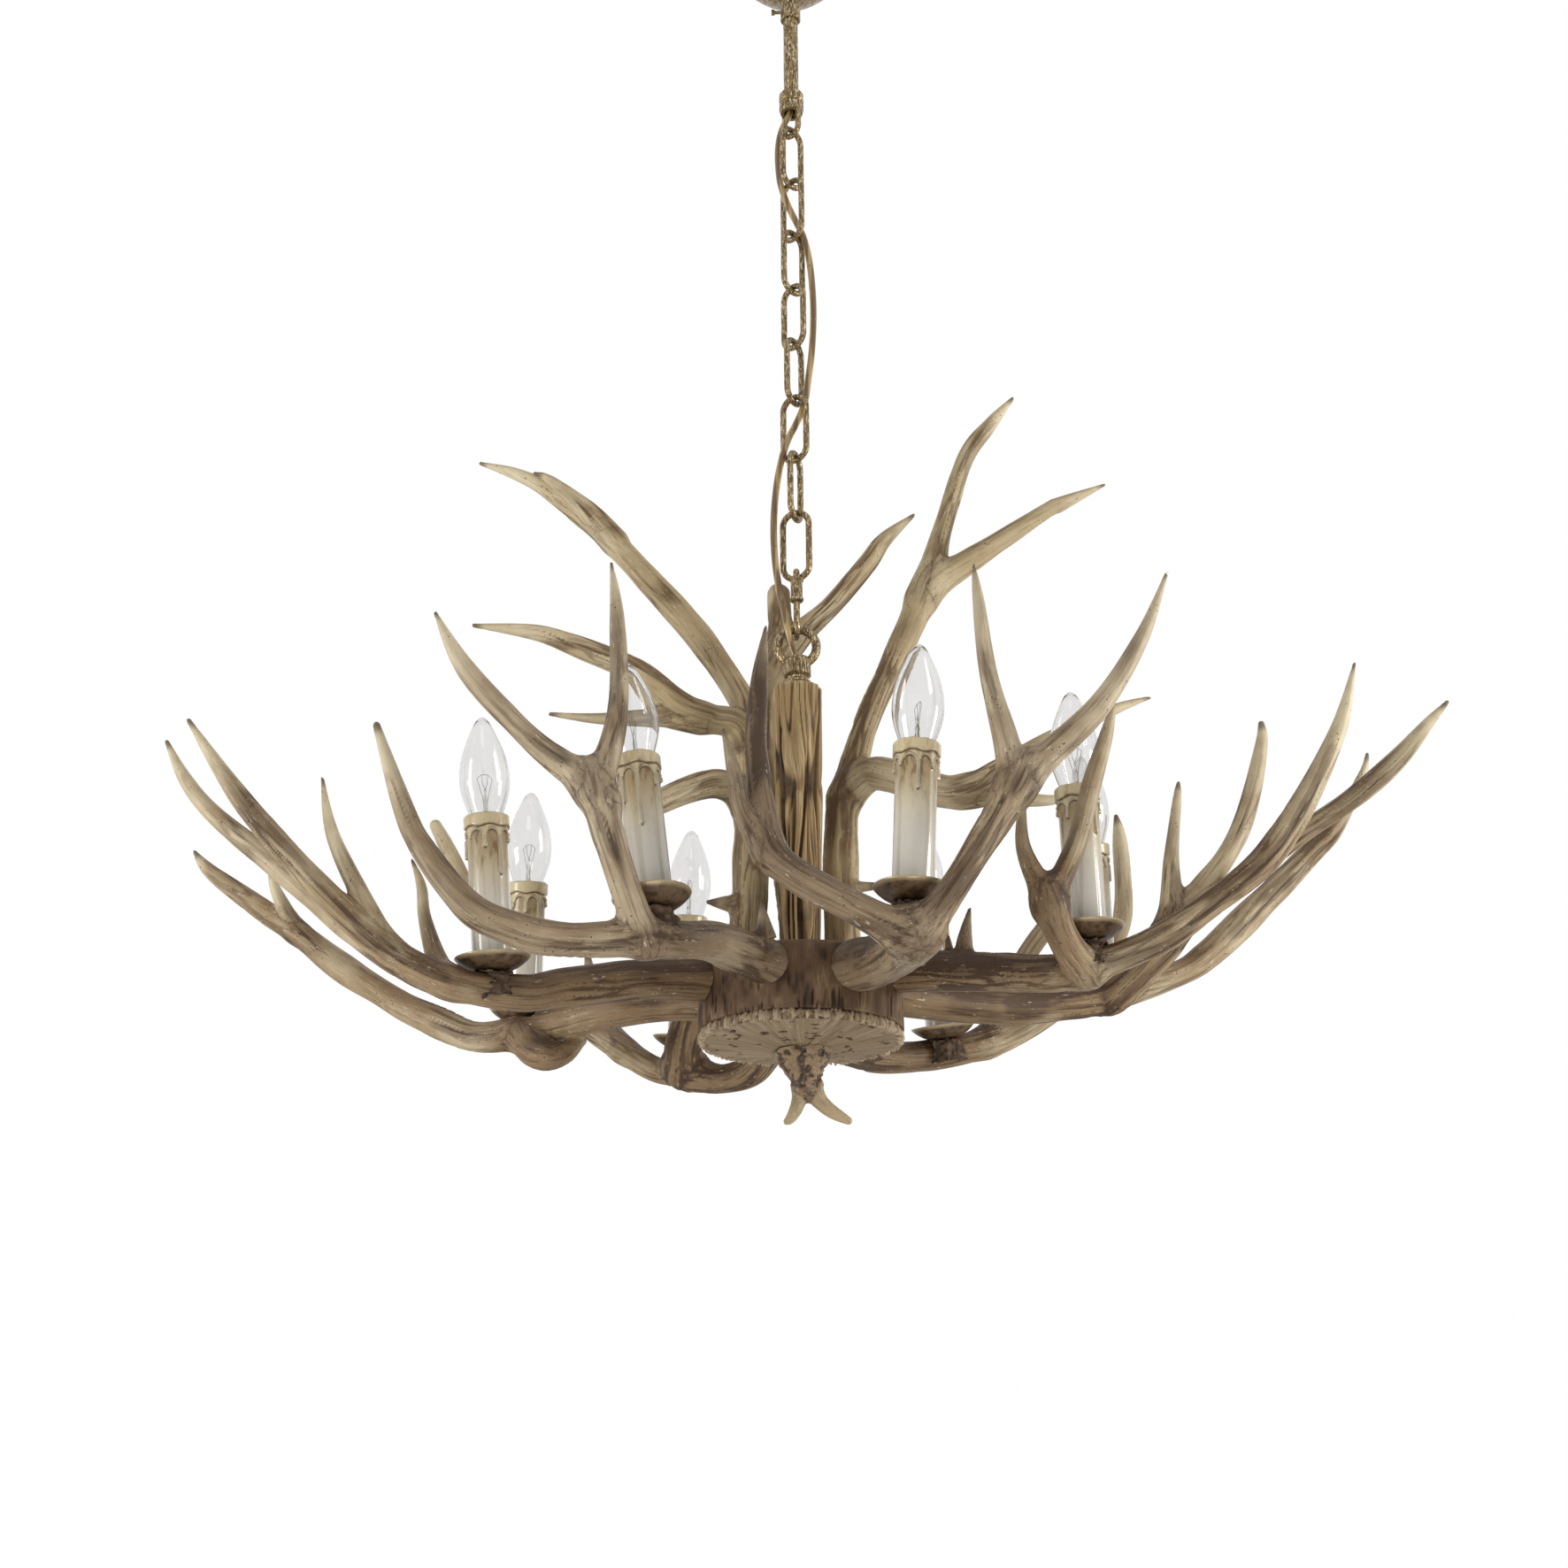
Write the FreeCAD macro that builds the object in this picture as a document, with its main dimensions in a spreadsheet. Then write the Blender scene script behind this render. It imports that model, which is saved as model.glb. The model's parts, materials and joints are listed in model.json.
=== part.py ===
"""Antler chandelier: eight candle lamps on eight forked antlers round a hub drum, three more antlers
standing on the drum round a column, the whole hung on a chain under a ceiling canopy.

The origin is on the ceiling plane, on the chandelier's axis. +Z is up, so everything hangs below zero.
The front, seen in the photograph, faces -Y. Lengths are in millimetres, angles in degrees.
"""
import FreeCAD
import Part
import Sketcher
import math
import os

Vector = FreeCAD.Vector
Rotation = FreeCAD.Rotation
Placement = FreeCAD.Placement
UP = Vector(0, 0, 1)

# ---------------------------------------------------------------------------------- driving sizes
SIZES = {
    # Ceiling bracket and the threaded nipple that hangs from it.
    "bracket_length": 94,
    "bracket_width": 24,
    "bracket_thickness": 3,
    "bracket_hole_spacing": 84,
    "bracket_hole_radius": 2.6,
    "nipple_radius": 5,
    "nipple_length": 46,
    "wire_bore_radius": 3.4,
    "nut_flats": 17,
    "nut_height": 5,
    # Canopy, its collar and the thumb screw that holds the collar on the stem.
    "canopy_radius": 54,
    "canopy_height": 45,
    "canopy_dome_radius": 190,
    "canopy_wall": 1.5,
    "collar_radius": 8.8,
    "collar_height": 20,
    "sliding_clearance": 0.08,
    "thumb_screw_radius": 1.5,
    "thumb_screw_head_radius": 2.6,
    "thumb_screw_head_height": 3,
    "thumb_screw_shank_out": 5,
    # Stem, ribbed coupling and the loop under it.
    "stem_radius": 6.4,
    "stem_top_drop": 12,
    "stem_bottom_drop": 145,
    "coupling_radius": 10.6,
    "coupling_waist_radius": 9.4,
    "coupling_height": 20.5,
    "coupling_chamber_radius": 6.3,
    "coupling_chamber_height": 17,
    "loop_wire": 5,
    "loop_width": 21,
    "loop_drop": 25.5,
    # Chain.
    "link_wire": 5,
    "link_length": 63.6,
    "link_width": 26.5,
    "wire_gap": 0.3,
    # Quick link and its sleeve nut.
    "quick_wire": 5,
    "quick_length": 60.7,
    "quick_width": 25,
    "quick_mouth": 8,
    "quick_mouth_drop": 4,
    "quick_nut_length": 20,
    "quick_nut_radius": 4.6,
    "quick_nut_collar": 0.9,
    "thread_clearance": 0.06,
    # Ring on the column, and its turned base.
    "ring_wire": 7,
    "ring_width": 37,
    "ring_base_radius": 10.5,
    "ring_base_neck_radius": 8,
    "ring_base_height": 22.5,
    "ring_seat_height": 14,
    "ring_mouth_radius": 6.6,
    "rod_socket_depth": 7,
    # Column, rod, drum and bottom plate.
    "column_top_radius": 20,
    "column_bottom_radius": 15.5,
    "column_height": 225.5,
    "rod_radius": 5,
    "rod_below_plate": 12,
    "rod_window_height": 16,
    "seat_clearance": 0.1,
    "drum_radius": 75,
    "drum_height": 49,
    "drum_wall": 5,
    "drum_top_thickness": 6,
    "plate_radius": 74.6,
    "plate_rim_height": 5,
    "plate_depth": 13,
    "plate_floor_radius": 22,
    # Bolts that hold the antlers.
    "bolt_radius": 3,
    "bolt_grip": 24,
    "bolt_head_radius": 5.5,
    "bolt_head_height": 4,
    "bolt_head_gap": 0.3,
    "side_bolt_rise": 5,
    "top_bolt_circle": 40,
    # Candle lamps, measured up from the seat on the antler.
    "burr_height": 8,
    "burr_root": 12,
    "burr_top_radius": 14.5,
    "burr_foot_radius": 18.5,
    "dish_radius": 26,
    "dish_foot_radius": 10,
    "dish_depth": 9.5,
    "dish_bowl_radius": 30,
    "dish_wall": 1.6,
    "dish_floor": 2.4,
    "dish_floor_radius": 14.4,
    "dish_clearance": 1,
    "stud_radius": 4,
    "sleeve_radius": 13.8,
    "sleeve_bore_radius": 12.6,
    "sleeve_collar_radius": 15.8,
    "sleeve_collar_height": 9,
    "sleeve_height": 106.6,
    "socket_radius": 11,
    "socket_height": 34,
    "socket_top_drop": 14,
    "cap_radius": 7,
    "cap_height": 22,
    "bulb_neck_radius": 11.5,
    "bulb_belly_radius": 17.5,
    "bulb_belly_rise": 24,
    "bulb_tip_rise": 72,
    "bulb_tip_radius": 2,
    "bulb_root_drop": 12,
    # Feed cord.
    "cord_radius": 2.75,
    "cord_foot_rise": 2.5,
}

LINKS = 8
# Turn of each link's plane about the axis, from facing the front, from the top link down.
LINK_TURNS = (45, -45, 45, -43, 57, -31, 68, -18)
LOOP_TURN = -45
QUICK_TURN = 90

# ------------------------------------------------------------------------------ antler skeletons
# Each limb is a few circles along a curve: (out, across, up, radius). For a side antler "out" runs
# from the drum's wall at the antler's heading, "up" from the drum's mid height. For a top antler
# "out" runs from the axis and "up" from the drum's top. A heading of 0 is the front, positive to +X.
SIDE_ANTLERS = {
    "antler_front_left": {
        "heading": -22.5,
        "limbs": {
            "beam": [(-12, 4, 10, 17.5), (77, -1, 3, 13.5), (126, -5, -9, 12.5), (154, -19, -14, 12),
                     (181, -54, -18, 11), (200, -83, -12, 11), (212, -107, 2, 10), (220, -137, 41, 8),
                     (222, -152, 69, 7), (223, -177, 132, 2.5)],
            "crown": [(152, -14, -15, 10.5), (176, -20, 24, 9.5), (186, -34, 76, 11.5),
                      (187, -37, 90, 9.5)],
            "brow_tine": [(186, -34, 77, 10), (175, -25, 133, 7), (169, -30, 204, 5),
                          (168, -36, 248, 1)],
            "side_tine": [(184, -29, 70, 10), (191, -43, 86, 10), (208, -73, 114, 8),
                          (229, -107, 157, 6.5), (241, -126, 197, 1)],
            "thorn": [(27, 16, 17, 7.5), (32, 15, 42, 1)],
        },
    },
    "antler_front_right": {
        "heading": 22.5,
        "limbs": {
            "beam": [(-12, 11, 10, 18), (31, 7, 1, 17.5), (81, -2, -9, 16.5), (128, -12, -15, 16),
                     (153, -19, -15, 14.5)],
            "right_beam": [(148, -21, -17, 14), (168, -15, -9, 11.5), (179, -3, 9, 9.5),
                           (190, 24, 55, 11), (194, 35, 75, 12.5), (195, 41, 89, 10)],
            "brow_tine": [(194, 34, 73, 10), (192, 32, 102, 8.5), (184, 25, 156, 6),
                          (179, 23, 209, 4), (176, 22, 238, 1)],
            "side_tine": [(192, 31, 68, 9.5), (199, 46, 87, 10), (218, 84, 127, 7.5),
                          (232, 112, 175, 5), (241, 130, 222, 1)],
            "left_beam": [(158, -17, -15, 12), (156, -33, -14, 12), (151, -50, -6, 11),
                          (127, -89, 23, 10.5), (115, -102, 47, 10.5), (101, -104, 107, 8),
                          (93, -101, 141, 7), (88, -96, 177, 5.5), (83, -90, 214, 1)],
            "fork_tine": [(117, -103, 36, 9), (113, -119, 66, 6), (113, -124, 90, 5),
                          (112, -132, 122, 1)],
        },
    },
    "antler_left_front": {
        "heading": -67.5,
        "limbs": {
            "beam": [(-12, -3, 10, 15), (47, 9, 1, 14.5), (107, 20, -13, 14), (139, 23, -21, 12.5),
                     (188, 23, -18, 10.5), (236, 20, 4, 9.5), (289, 16, 49, 8.5), (334, 9, 98, 7),
                     (372, 1, 152, 1.5)],
            "second_beam": [(184, 18, -19, 9), (208, 5, -10, 9), (248, -19, 23, 9),
                            (277, -37, 53, 9), (300, -51, 75, 8.5), (341, -75, 114, 6.5),
                            (362, -87, 142, 5), (377, -95, 172, 1.5)],
            "inner_tine": [(230, 21, 0, 7.5), (252, 19, 37, 6.5), (273, 16, 79, 4.5),
                           (282, 14, 118, 1)],
            "back_tine": [(190, 20, -17, 9), (196, 7, 3, 7), (202, -8, 35, 4.5),
                          (204, -15, 59, 3.5), (210, -23, 80, 1)],
        },
    },
    "antler_left_back": {
        "heading": -112.5,
        "limbs": {
            "beam": [(-12, 4, 2, 12), (24, 2, 7, 12), (79, 3, 8, 13.5), (118, -1, 5, 14),
                     (157, -2, 1, 13.5), (194, 1, 0, 11.5), (223, 7, 12, 11.5), (255, 12, 28, 11),
                     (281, 21, 45, 11), (309, 31, 65, 11), (337, 43, 88, 10), (364, 55, 108, 9.5),
                     (404, 75, 140, 6), (417, 83, 157, 1.5)],
            "hook": [(156, -2, 3, 12), (145, 5, -13, 13.5), (129, 9, -22, 12.5),
                     (116, 4, -20, 8.5), (106, -3, -11, 4)],
            "back_tine": [(340, 44, 91, 8), (349, 63, 121, 4.5), (351, 70, 138, 2)],
        },
    },
    "antler_back_left": {
        "heading": -157.5,
        "limbs": {
            "beam": [(-12, -5, -3, 14.5), (32, -18, -10, 13.5), (61, -16, -20, 12),
                     (96, -5, -21, 11.5), (119, 8, -14, 13.5), (135, 18, -5, 15),
                     (150, 31, -5, 11), (170, 55, 14, 10), (191, 80, 38, 10),
                     (202, 112, 65, 9.5), (208, 142, 92, 9.5), (210, 169, 123, 9),
                     (210, 199, 179, 7), (211, 213, 204, 5)],
            "knuckle": [(127, 18, -7, 15.5), (106, 26, 8, 14), (93, 25, 32, 10.5),
                        (86, 22, 64, 3)],
            "back_tine": [(170, 55, 14, 9.5), (193, 64, 44, 8), (204, 73, 78, 6),
                          (209, 77, 104, 2.5)],
        },
    },
    "antler_back_right": {
        "heading": 157.5,
        "limbs": {
            "beam": [(-12, 4, -3, 14.5), (35, 10, -9, 13), (85, 5, -6, 12), (132, -13, 2, 13),
                     (158, -32, 9, 13.5), (182, -66, 20, 11.5), (193, -93, 33, 10.5),
                     (200, -127, 54, 9.5), (202, -154, 77, 9), (198, -173, 101, 7.5),
                     (192, -182, 129, 7.5), (181, -185, 179, 6), (178, -184, 200, 2)],
            "back_tine": [(179, -59, 20, 11), (191, -77, 53, 9.5), (198, -95, 95, 8.5),
                          (206, -130, 144, 7), (210, -156, 193, 1.5)],
        },
    },
    "antler_right_front": {
        "heading": 67.5,
        "limbs": {
            "beam": [(-12, 3, 15, 15.5), (26, -6, 9, 14.5), (94, -19, -4, 13), (127, -26, -9, 12.5),
                     (159, -30, -6, 10.5), (190, -30, 3, 10), (214, -29, 15, 9.5),
                     (251, -25, 39, 9.5), (276, -21, 61, 10), (301, -18, 97, 8.5),
                     (326, -14, 144, 5.5), (340, -12, 188, 1)],
            "crown": [(145, -28, -10, 11.5), (140, -57, 0, 11), (136, -73, 16, 11),
                      (134, -79, 31, 10.5)],
            "inner_tine": [(136, -76, 23, 9.5), (121, -86, 64, 5), (124, -81, 119, 1)],
            "outer_tine": [(133, -77, 23, 9.5), (154, -75, 63, 7), (167, -72, 106, 6.5),
                           (179, -69, 142, 4.5), (186, -69, 167, 1)],
            "thorn": [(53, -10, 9, 8), (55, -13, 26, 5.5), (60, -14, 49, 1)],
            "small_thorn": [(42, -6, 14, 5), (41, -8, 32, 1.5)],
        },
    },
    "antler_right_back": {
        "heading": 112.5,
        "limbs": {
            "beam": [(-12, -5, 10, 13), (29, 0, 9, 13.5), (108, 7, 14, 14), (147, 8, 20, 13.5),
                     (182, 6, 28, 13), (243, -4, 49, 10), (270, -11, 66, 11), (298, -20, 93, 12),
                     (354, -46, 151, 9.5), (374, -58, 174, 7), (394, -73, 216, 3.5),
                     (398, -77, 233, 1.5)],
            "crown": [(187, 0, 28, 12.5), (207, -24, 52, 13.5), (222, -36, 77, 11.5),
                      (225, -41, 133, 6), (232, -45, 182, 3.5), (234, -46, 196, 1.5)],
            "outer_tine": [(219, -33, 71, 11), (246, -49, 109, 9), (261, -58, 130, 8),
                           (275, -63, 154, 8), (284, -71, 183, 7.5), (293, -79, 226, 5),
                           (294, -80, 243, 2.5)],
            "second_beam": [(210, -25, 55, 11), (236, -51, 84, 9.5), (263, -74, 109, 9),
                            (294, -118, 138, 8), (317, -154, 157, 8), (338, -184, 181, 7.5),
                            (352, -204, 203, 4.5), (363, -216, 218, 1.5)],
        },
    },
}
TOP_ANTLERS = {
    "crown_antler_left": {
        "heading": -120,
        "limbs": {
            "beam": [(45, 3, -6, 14), (44, 0, 46, 13.5), (45, -4, 73, 13), (49, -11, 133, 12.5),
                     (52, -14, 163, 12), (59, -19, 219, 11.5), (69, -19, 246, 11),
                     (100, -14, 298, 11.5), (148, -4, 361, 11), (176, 5, 398, 10.5),
                     (206, 16, 432, 11), (234, 28, 455, 7), (257, 38, 469, 5),
                     (283, 50, 480, 1.5)],
            "back_tine": [(173, 3, 396, 9), (191, 21, 423, 8), (212, 44, 446, 4),
                          (221, 54, 450, 1.5)],
            "side_beam": [(53, -17, 187, 11), (60, -5, 207, 12), (74, 12, 210, 11.5),
                          (89, 33, 216, 13.5), (113, 60, 242, 10), (152, 95, 261, 8),
                          (173, 112, 268, 6), (208, 139, 271, 1.5)],
            "side_tine": [(78, 18, 208, 10.5), (94, 38, 206, 8.5), (130, 75, 199, 4.5),
                          (160, 101, 200, 1.5)],
            "low_beam": [(50, -12, 137, 11), (55, 9, 149, 11), (66, 31, 146, 11),
                         (88, 69, 120, 8), (100, 88, 90, 1.5)],
            "thorn": [(45, 0, 56, 8), (55, 13, 55, 6), (64, 26, 54, 1.5)],
        },
    },
    "crown_antler_right": {
        "heading": 120,
        "limbs": {
            "beam": [(38, 1, -6, 14), (38, 3, 46, 13.5), (40, 7, 72, 13.5), (46, 13, 132, 13),
                     (54, 13, 163, 12.5), (71, 12, 215, 10.5), (100, 9, 279, 11),
                     (114, 8, 312, 11.5), (132, 4, 359, 11.5), (143, 2, 398, 8),
                     (164, -6, 468, 7.5), (185, -15, 503, 6), (203, -25, 529, 1.5)],
            "fork_tine": [(123, 6, 331, 11), (135, -2, 347, 11.5), (158, -19, 366, 10),
                          (204, -58, 403, 6.5), (216, -67, 410, 6), (245, -89, 425, 1)],
            "side_beam": [(51, 12, 147, 11.5), (61, -4, 161, 12.5), (70, -22, 156, 13),
                          (95, -59, 135, 13), (109, -79, 135, 12.5), (122, -92, 146, 9.5),
                          (141, -105, 162, 7), (162, -117, 175, 6.5), (201, -135, 197, 4),
                          (227, -145, 208, 1)],
            "side_tine": [(103, -71, 133, 10), (120, -90, 126, 7.5), (151, -110, 122, 4),
                          (180, -123, 130, 1)],
            "thorn": [(40, 5, 69, 6), (58, -18, 67, 2.5)],
        },
    },
    "crown_antler_back": {
        "heading": 180,
        "limbs": {
            "beam": [(36, 4, -6, 12), (40, 4, 49, 12), (46, 8, 86, 12), (54, 14, 125, 11.5),
                     (63, 21, 166, 12), (70, 27, 199, 11.5), (78, 23, 260, 11.5),
                     (78, -1, 302, 11.5), (74, -29, 329, 8.5), (71, -59, 366, 8.5),
                     (70, -74, 388, 6.5), (70, -99, 411, 1.5)],
            "blunt_tine": [(79, 18, 279, 11), (81, 14, 301, 10.5), (83, 14, 345, 9)],
        },
    },
}
# Candle lamps: the antler, the seat on it (out, across, up) and the lean (out, across) in degrees.
CANDLES = [
    ("antler_left_front", (158, 19, -15), (6, 3)),
    ("antler_left_back", (162, -11, 3), (-5, 9)),
    ("antler_front_left", (136, -15, 2), (-1, -8)),
    ("antler_back_left", (147, 11, 6), (-10, 2)),
    ("antler_front_right", (141, -14, 0), (1, 3)),
    ("antler_back_right", (147, -37, 10), (-12, 2)),
    ("antler_right_front", (147, -29, 2), (0, -2)),
    ("antler_right_back", (187, 16, 36), (-6, -9)),
]
# A limb's runs are bent in steps of about this length, at most this many to a run.
LIMB_STEP = 22
MOST_STEPS = 3
# Finial under the plate, a short forked stub, measured down from the plate's floor.
FINIAL_LIMBS = {
    "stub": [(1.5, 0, 0, 20.5), (2, 0, -7, 18.5), (2.5, 0, -13, 14.5), (3, 0, -19, 11), (4, 0, -27, 9.8)],
    "left_tip": [(2, 0, -22, 8), (0, 0, -30, 6.2), (-2, -1, -36, 4.6), (-4.5, -2, -43, 3.9),
                 (-8, -2, -49, 3), (-10.5, -2, -51.5, 2)],
    "right_tip": [(6.5, 0, -22, 8), (9, 0, -30, 6.4), (13, 1, -36.5, 5), (20, 2, -42.8, 4.2),
                  (27, 3, -47, 3.3), (33, 3, -50.3, 2)],
}
# The feed cord's free stretch, from the coupling's chamber down the chain into the rod: across, back
# and down from the chamber's top. The drops are stretched to the room between the two ends.
CORD_ROUTE = [
    (0, 0, 0), (0, 0, 15), (-8, 0, 31), (-12, 2, 48), (-12, 3, 70), (-10, 0, 94), (-1, 1, 120),
    (10, 1, 144), (15, 2, 174), (17, 2, 215), (15, 3, 257), (11, 3, 286), (9, 2, 304), (3, 1, 322),
    (-8, -2, 346), (-15, -2, 380), (-18, -3, 418), (-17, -4, 452), (-13, -6, 484), (-8, -9, 506),
    (-6, -5, 522), (0, 0, 536), (0, 0, 555.5),
]


# ------------------------------------------------------------------------------ document and sheet
class Dim:
    """A length that keeps both its value and the sheet formula that gives it."""

    def __init__(self, value, text):
        self.value = value
        self.text = text

    def __add__(self, other):
        return joined(self, "+", dim(other), self.value + dim(other).value)

    def __radd__(self, other):
        return dim(other) + self

    def __sub__(self, other):
        return joined(self, "-", dim(other), self.value - dim(other).value)

    def __rsub__(self, other):
        return dim(other) - self

    def __mul__(self, other):
        return joined(self, "*", dim(other), self.value * dim(other).value)

    def __rmul__(self, other):
        return dim(other) * self

    def __truediv__(self, other):
        return joined(self, "/", dim(other), self.value / dim(other).value)

    def __neg__(self):
        return dim(0) - self


def joined(left, sign, right, value):
    return Dim(value, "({} {} {})".format(left.text, sign, right.text))


def dim(source):
    return source if isinstance(source, Dim) else Dim(float(source), repr(float(source)))


document = FreeCAD.newDocument("AntlerChandelier")
sheet = document.addObject("Spreadsheet::Sheet", "Sizes")
for row, (alias, amount) in enumerate(SIZES.items(), start=1):
    sheet.set("A{}".format(row), alias.replace("_", " "))
    sheet.set("B{}".format(row), str(amount))
    sheet.setAlias("B{}".format(row), alias)
document.recompute()


def size(alias):
    """The sheet's value under this alias, as a length with its formula."""
    return Dim(float(getattr(sheet, alias)), "Sizes." + alias)


def bind(thing, **formulas):
    """Ties properties to sheet formulas. A double underscore in a name stands for a dot."""
    for name, formula in formulas.items():
        thing.setExpression(name.replace("__", "."), dim(formula).text)
    return thing


def lift(thing, height):
    return bind(thing, Placement__Base__z=height)


# ----------------------------------------------------------------------------------- stack heights
stem_top = -size("stem_top_drop")
coupling_top = -size("stem_bottom_drop")
coupling_foot = coupling_top - size("coupling_height")
loop_foot = coupling_foot - size("loop_drop")
link_pitch = size("link_length") - 2 * size("link_wire") - size("wire_gap")
first_link_top = loop_foot + size("loop_wire") + size("link_wire") + size("wire_gap")
last_link_foot = first_link_top - (LINKS - 1) * link_pitch - size("link_length")
quick_top = last_link_foot + size("link_wire") + size("quick_wire") + size("wire_gap")
quick_foot = quick_top - size("quick_length")
quick_leg_top = quick_top - size("quick_width") / 2
ring_top = quick_foot + size("quick_wire") + size("ring_wire") + size("wire_gap")
ring_foot = ring_top - size("ring_width")
column_top = ring_foot - size("ring_seat_height")
drum_top = column_top - size("column_height")
drum_foot = drum_top - size("drum_height")
plate_foot = drum_foot - size("plate_depth")
rod_top = column_top + size("rod_socket_depth")
rod_foot = plate_foot - size("rod_below_plate")
cord_top = coupling_foot + size("coupling_chamber_height")
cord_foot = column_top + size("cord_foot_rise")


# ------------------------------------------------------------------------------------ basic shapes
def origin_plane(body, role):
    for feature in body.Origin.OriginFeatures:
        if feature.Role == role:
            return feature
    raise RuntimeError("the body has no plane " + role)


def arc_between(start, end, radius):
    """The minor arc from start to end that bulges to the right of the way, or left if negative."""
    chord = end - start
    middle = (start + end) * 0.5
    side = Vector(chord.y, -chord.x, 0).normalize()
    reach = math.sqrt(max(radius * radius - chord.Length ** 2 / 4.0, 0.0))
    bulge = side * (abs(radius) - reach)
    if radius > 0:
        return Part.Arc(start, middle + bulge, end)
    return Part.Arc(end, middle - bulge, start)


def outline_edge(start, end, arc_radius):
    if arc_radius is None:
        return Part.LineSegment(start, end)
    return arc_between(start, end, arc_radius.value)


def turned(label, outline):
    """A body turned about its own Z axis. The outline's corners are (radius, height), and a corner
    may add the signed radius of the arc that leads on from it."""
    body = document.addObject("PartDesign::Body", label)
    body.Label = label
    sketch = body.newObject("Sketcher::SketchObject", label + "_profile")
    sketch.AttachmentSupport = [(origin_plane(body, "XZ_Plane"), "")]
    sketch.MapMode = "FlatFace"
    corners = [(dim(corner[0]), dim(corner[1])) for corner in outline]
    arcs = [corner[2] if len(corner) > 2 else None for corner in outline]
    points = [Vector(radius.value, height.value, 0) for radius, height in corners]
    ends = points[1:] + points[:1]
    starts = []
    for start, end, arc_radius in zip(points, ends, arcs):
        edge = sketch.addGeometry(outline_edge(start, end, arc_radius), False)
        starts.append((edge, start_vertex(sketch.Geometry[edge], start)))
    join_corners(sketch, starts)
    for (edge, vertex), (radius, height) in zip(starts, corners):
        place_corner(sketch, edge, vertex, radius, height)
    for (edge, vertex), arc_radius in zip(starts, arcs):
        if arc_radius is not None:
            number = sketch.addConstraint(constraint("Radius", edge, abs(arc_radius.value)))
            size_text = arc_radius.text if arc_radius.value > 0 else (-arc_radius).text
            sketch.setExpression("Constraints[{}]".format(number), size_text)
    turn = body.newObject("PartDesign::Revolution", label + "_turning")
    turn.Profile = sketch
    turn.ReferenceAxis = (sketch, ["V_Axis"])
    turn.Angle = 360
    return body


def constraint(kind, *values):
    return Sketcher.Constraint(kind, *values)


def start_vertex(geometry, point):
    """1 where the drawn edge starts at the point, or 2 where it ends there."""
    return 1 if (geometry.StartPoint - point).Length < (geometry.EndPoint - point).Length else 2


def join_corners(sketch, starts):
    following = starts[1:] + starts[:1]
    for (edge, vertex), (next_edge, next_vertex) in zip(starts, following):
        sketch.addConstraint(constraint("Coincident", edge, 3 - vertex, next_edge, next_vertex))


def place_corner(sketch, edge, vertex, radius, height):
    """Ties one corner's radius and height to the sheet. On an axis it is held to that axis."""
    for kind, axis, amount in (("DistanceX", -2, radius), ("DistanceY", -1, height)):
        if amount.value == 0:
            sketch.addConstraint(constraint("PointOnObject", edge, vertex, axis))
            continue
        number = sketch.addConstraint(constraint(kind, -1, 1, edge, vertex, amount.value))
        sketch.setExpression("Constraints[{}]".format(number), amount.text)


def cylinder(name, radius, height):
    return bind(document.addObject("Part::Cylinder", name), Radius=radius, Height=height)


def box(name, length, width, height):
    block = document.addObject("Part::Box", name)
    return bind(block, Length=length, Width=width, Height=height)


def hex_prism(name, flats, height):
    prism = document.addObject("Part::Prism", name)
    prism.Polygon = 6
    return bind(prism, Circumradius=flats / math.sqrt(3), Height=height)


def fused(label, *pieces):
    whole = document.addObject("Part::MultiFuse", label)
    whole.Label = label
    whole.Shapes = list(pieces)
    return whole


def cut(label, base, tool):
    rest = document.addObject("Part::Cut", label)
    rest.Label = label
    rest.Base = base
    rest.Tool = tool
    return rest


def half_ring(name, wire, width, centre_height, lower):
    """Half of a wire ring in the XZ plane, the upper or the lower half."""
    ring = document.addObject("Part::Torus", name)
    ring.Angle3 = 180
    turn_up = Rotation(Vector(1, 0, 0), -90 if lower else 90)
    ring.Placement = Placement(Vector(), turn_up)
    bind(ring, Radius1=(width - wire) / 2, Radius2=wire / 2)
    return lift(ring, centre_height)


def wire_leg(name, wire, width, foot, length, side):
    leg = cylinder(name, wire / 2, length)
    bind(leg, Placement__Base__x=side * (width - wire) / 2)
    return lift(leg, foot)


def wire_loop(label, wire, width, length, foot):
    """A stadium-shaped link of round wire in the XZ plane, standing on the height foot."""
    bend = width / 2
    straight = length - width
    low = half_ring(label + "_low_bend", wire, width, foot + bend, True)
    high = half_ring(label + "_high_bend", wire, width, foot + bend + straight, False)
    legs = [wire_leg(label + "_leg_" + name, wire, width, foot + bend, straight, side)
            for name, side in (("left", -1), ("right", 1))]
    return fused(label, low, high, *legs)


def coded(label, shape, placement=None):
    """A sub-part whose shape is made by code."""
    feature = document.addObject("Part::Feature", label)
    feature.Label = label
    feature.Shape = shape
    if placement is not None:
        feature.Placement = placement
    return feature


# ---------------------------------------------------------------------------------- ceiling pieces
def make_ceiling_bracket():
    length = size("bracket_length")
    width = size("bracket_width")
    thickness = size("bracket_thickness")
    bar = box("bracket_bar", length, width, thickness)
    bind(bar, Placement__Base__x=-length / 2, Placement__Base__y=-width / 2)
    lift(bar, -thickness)
    holes = [cylinder("bracket_nipple_hole", size("nipple_radius"), 3 * thickness)]
    for side in (-1, 1):
        hole = cylinder("bracket_bolt_hole", size("bracket_hole_radius"), 3 * thickness)
        holes.append(bind(hole, Placement__Base__x=side * size("bracket_hole_spacing") / 2))
    for hole in holes:
        lift(hole, -2 * thickness)
    return cut("ceiling_bracket", bar, fused("bracket_holes", *holes))


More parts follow.
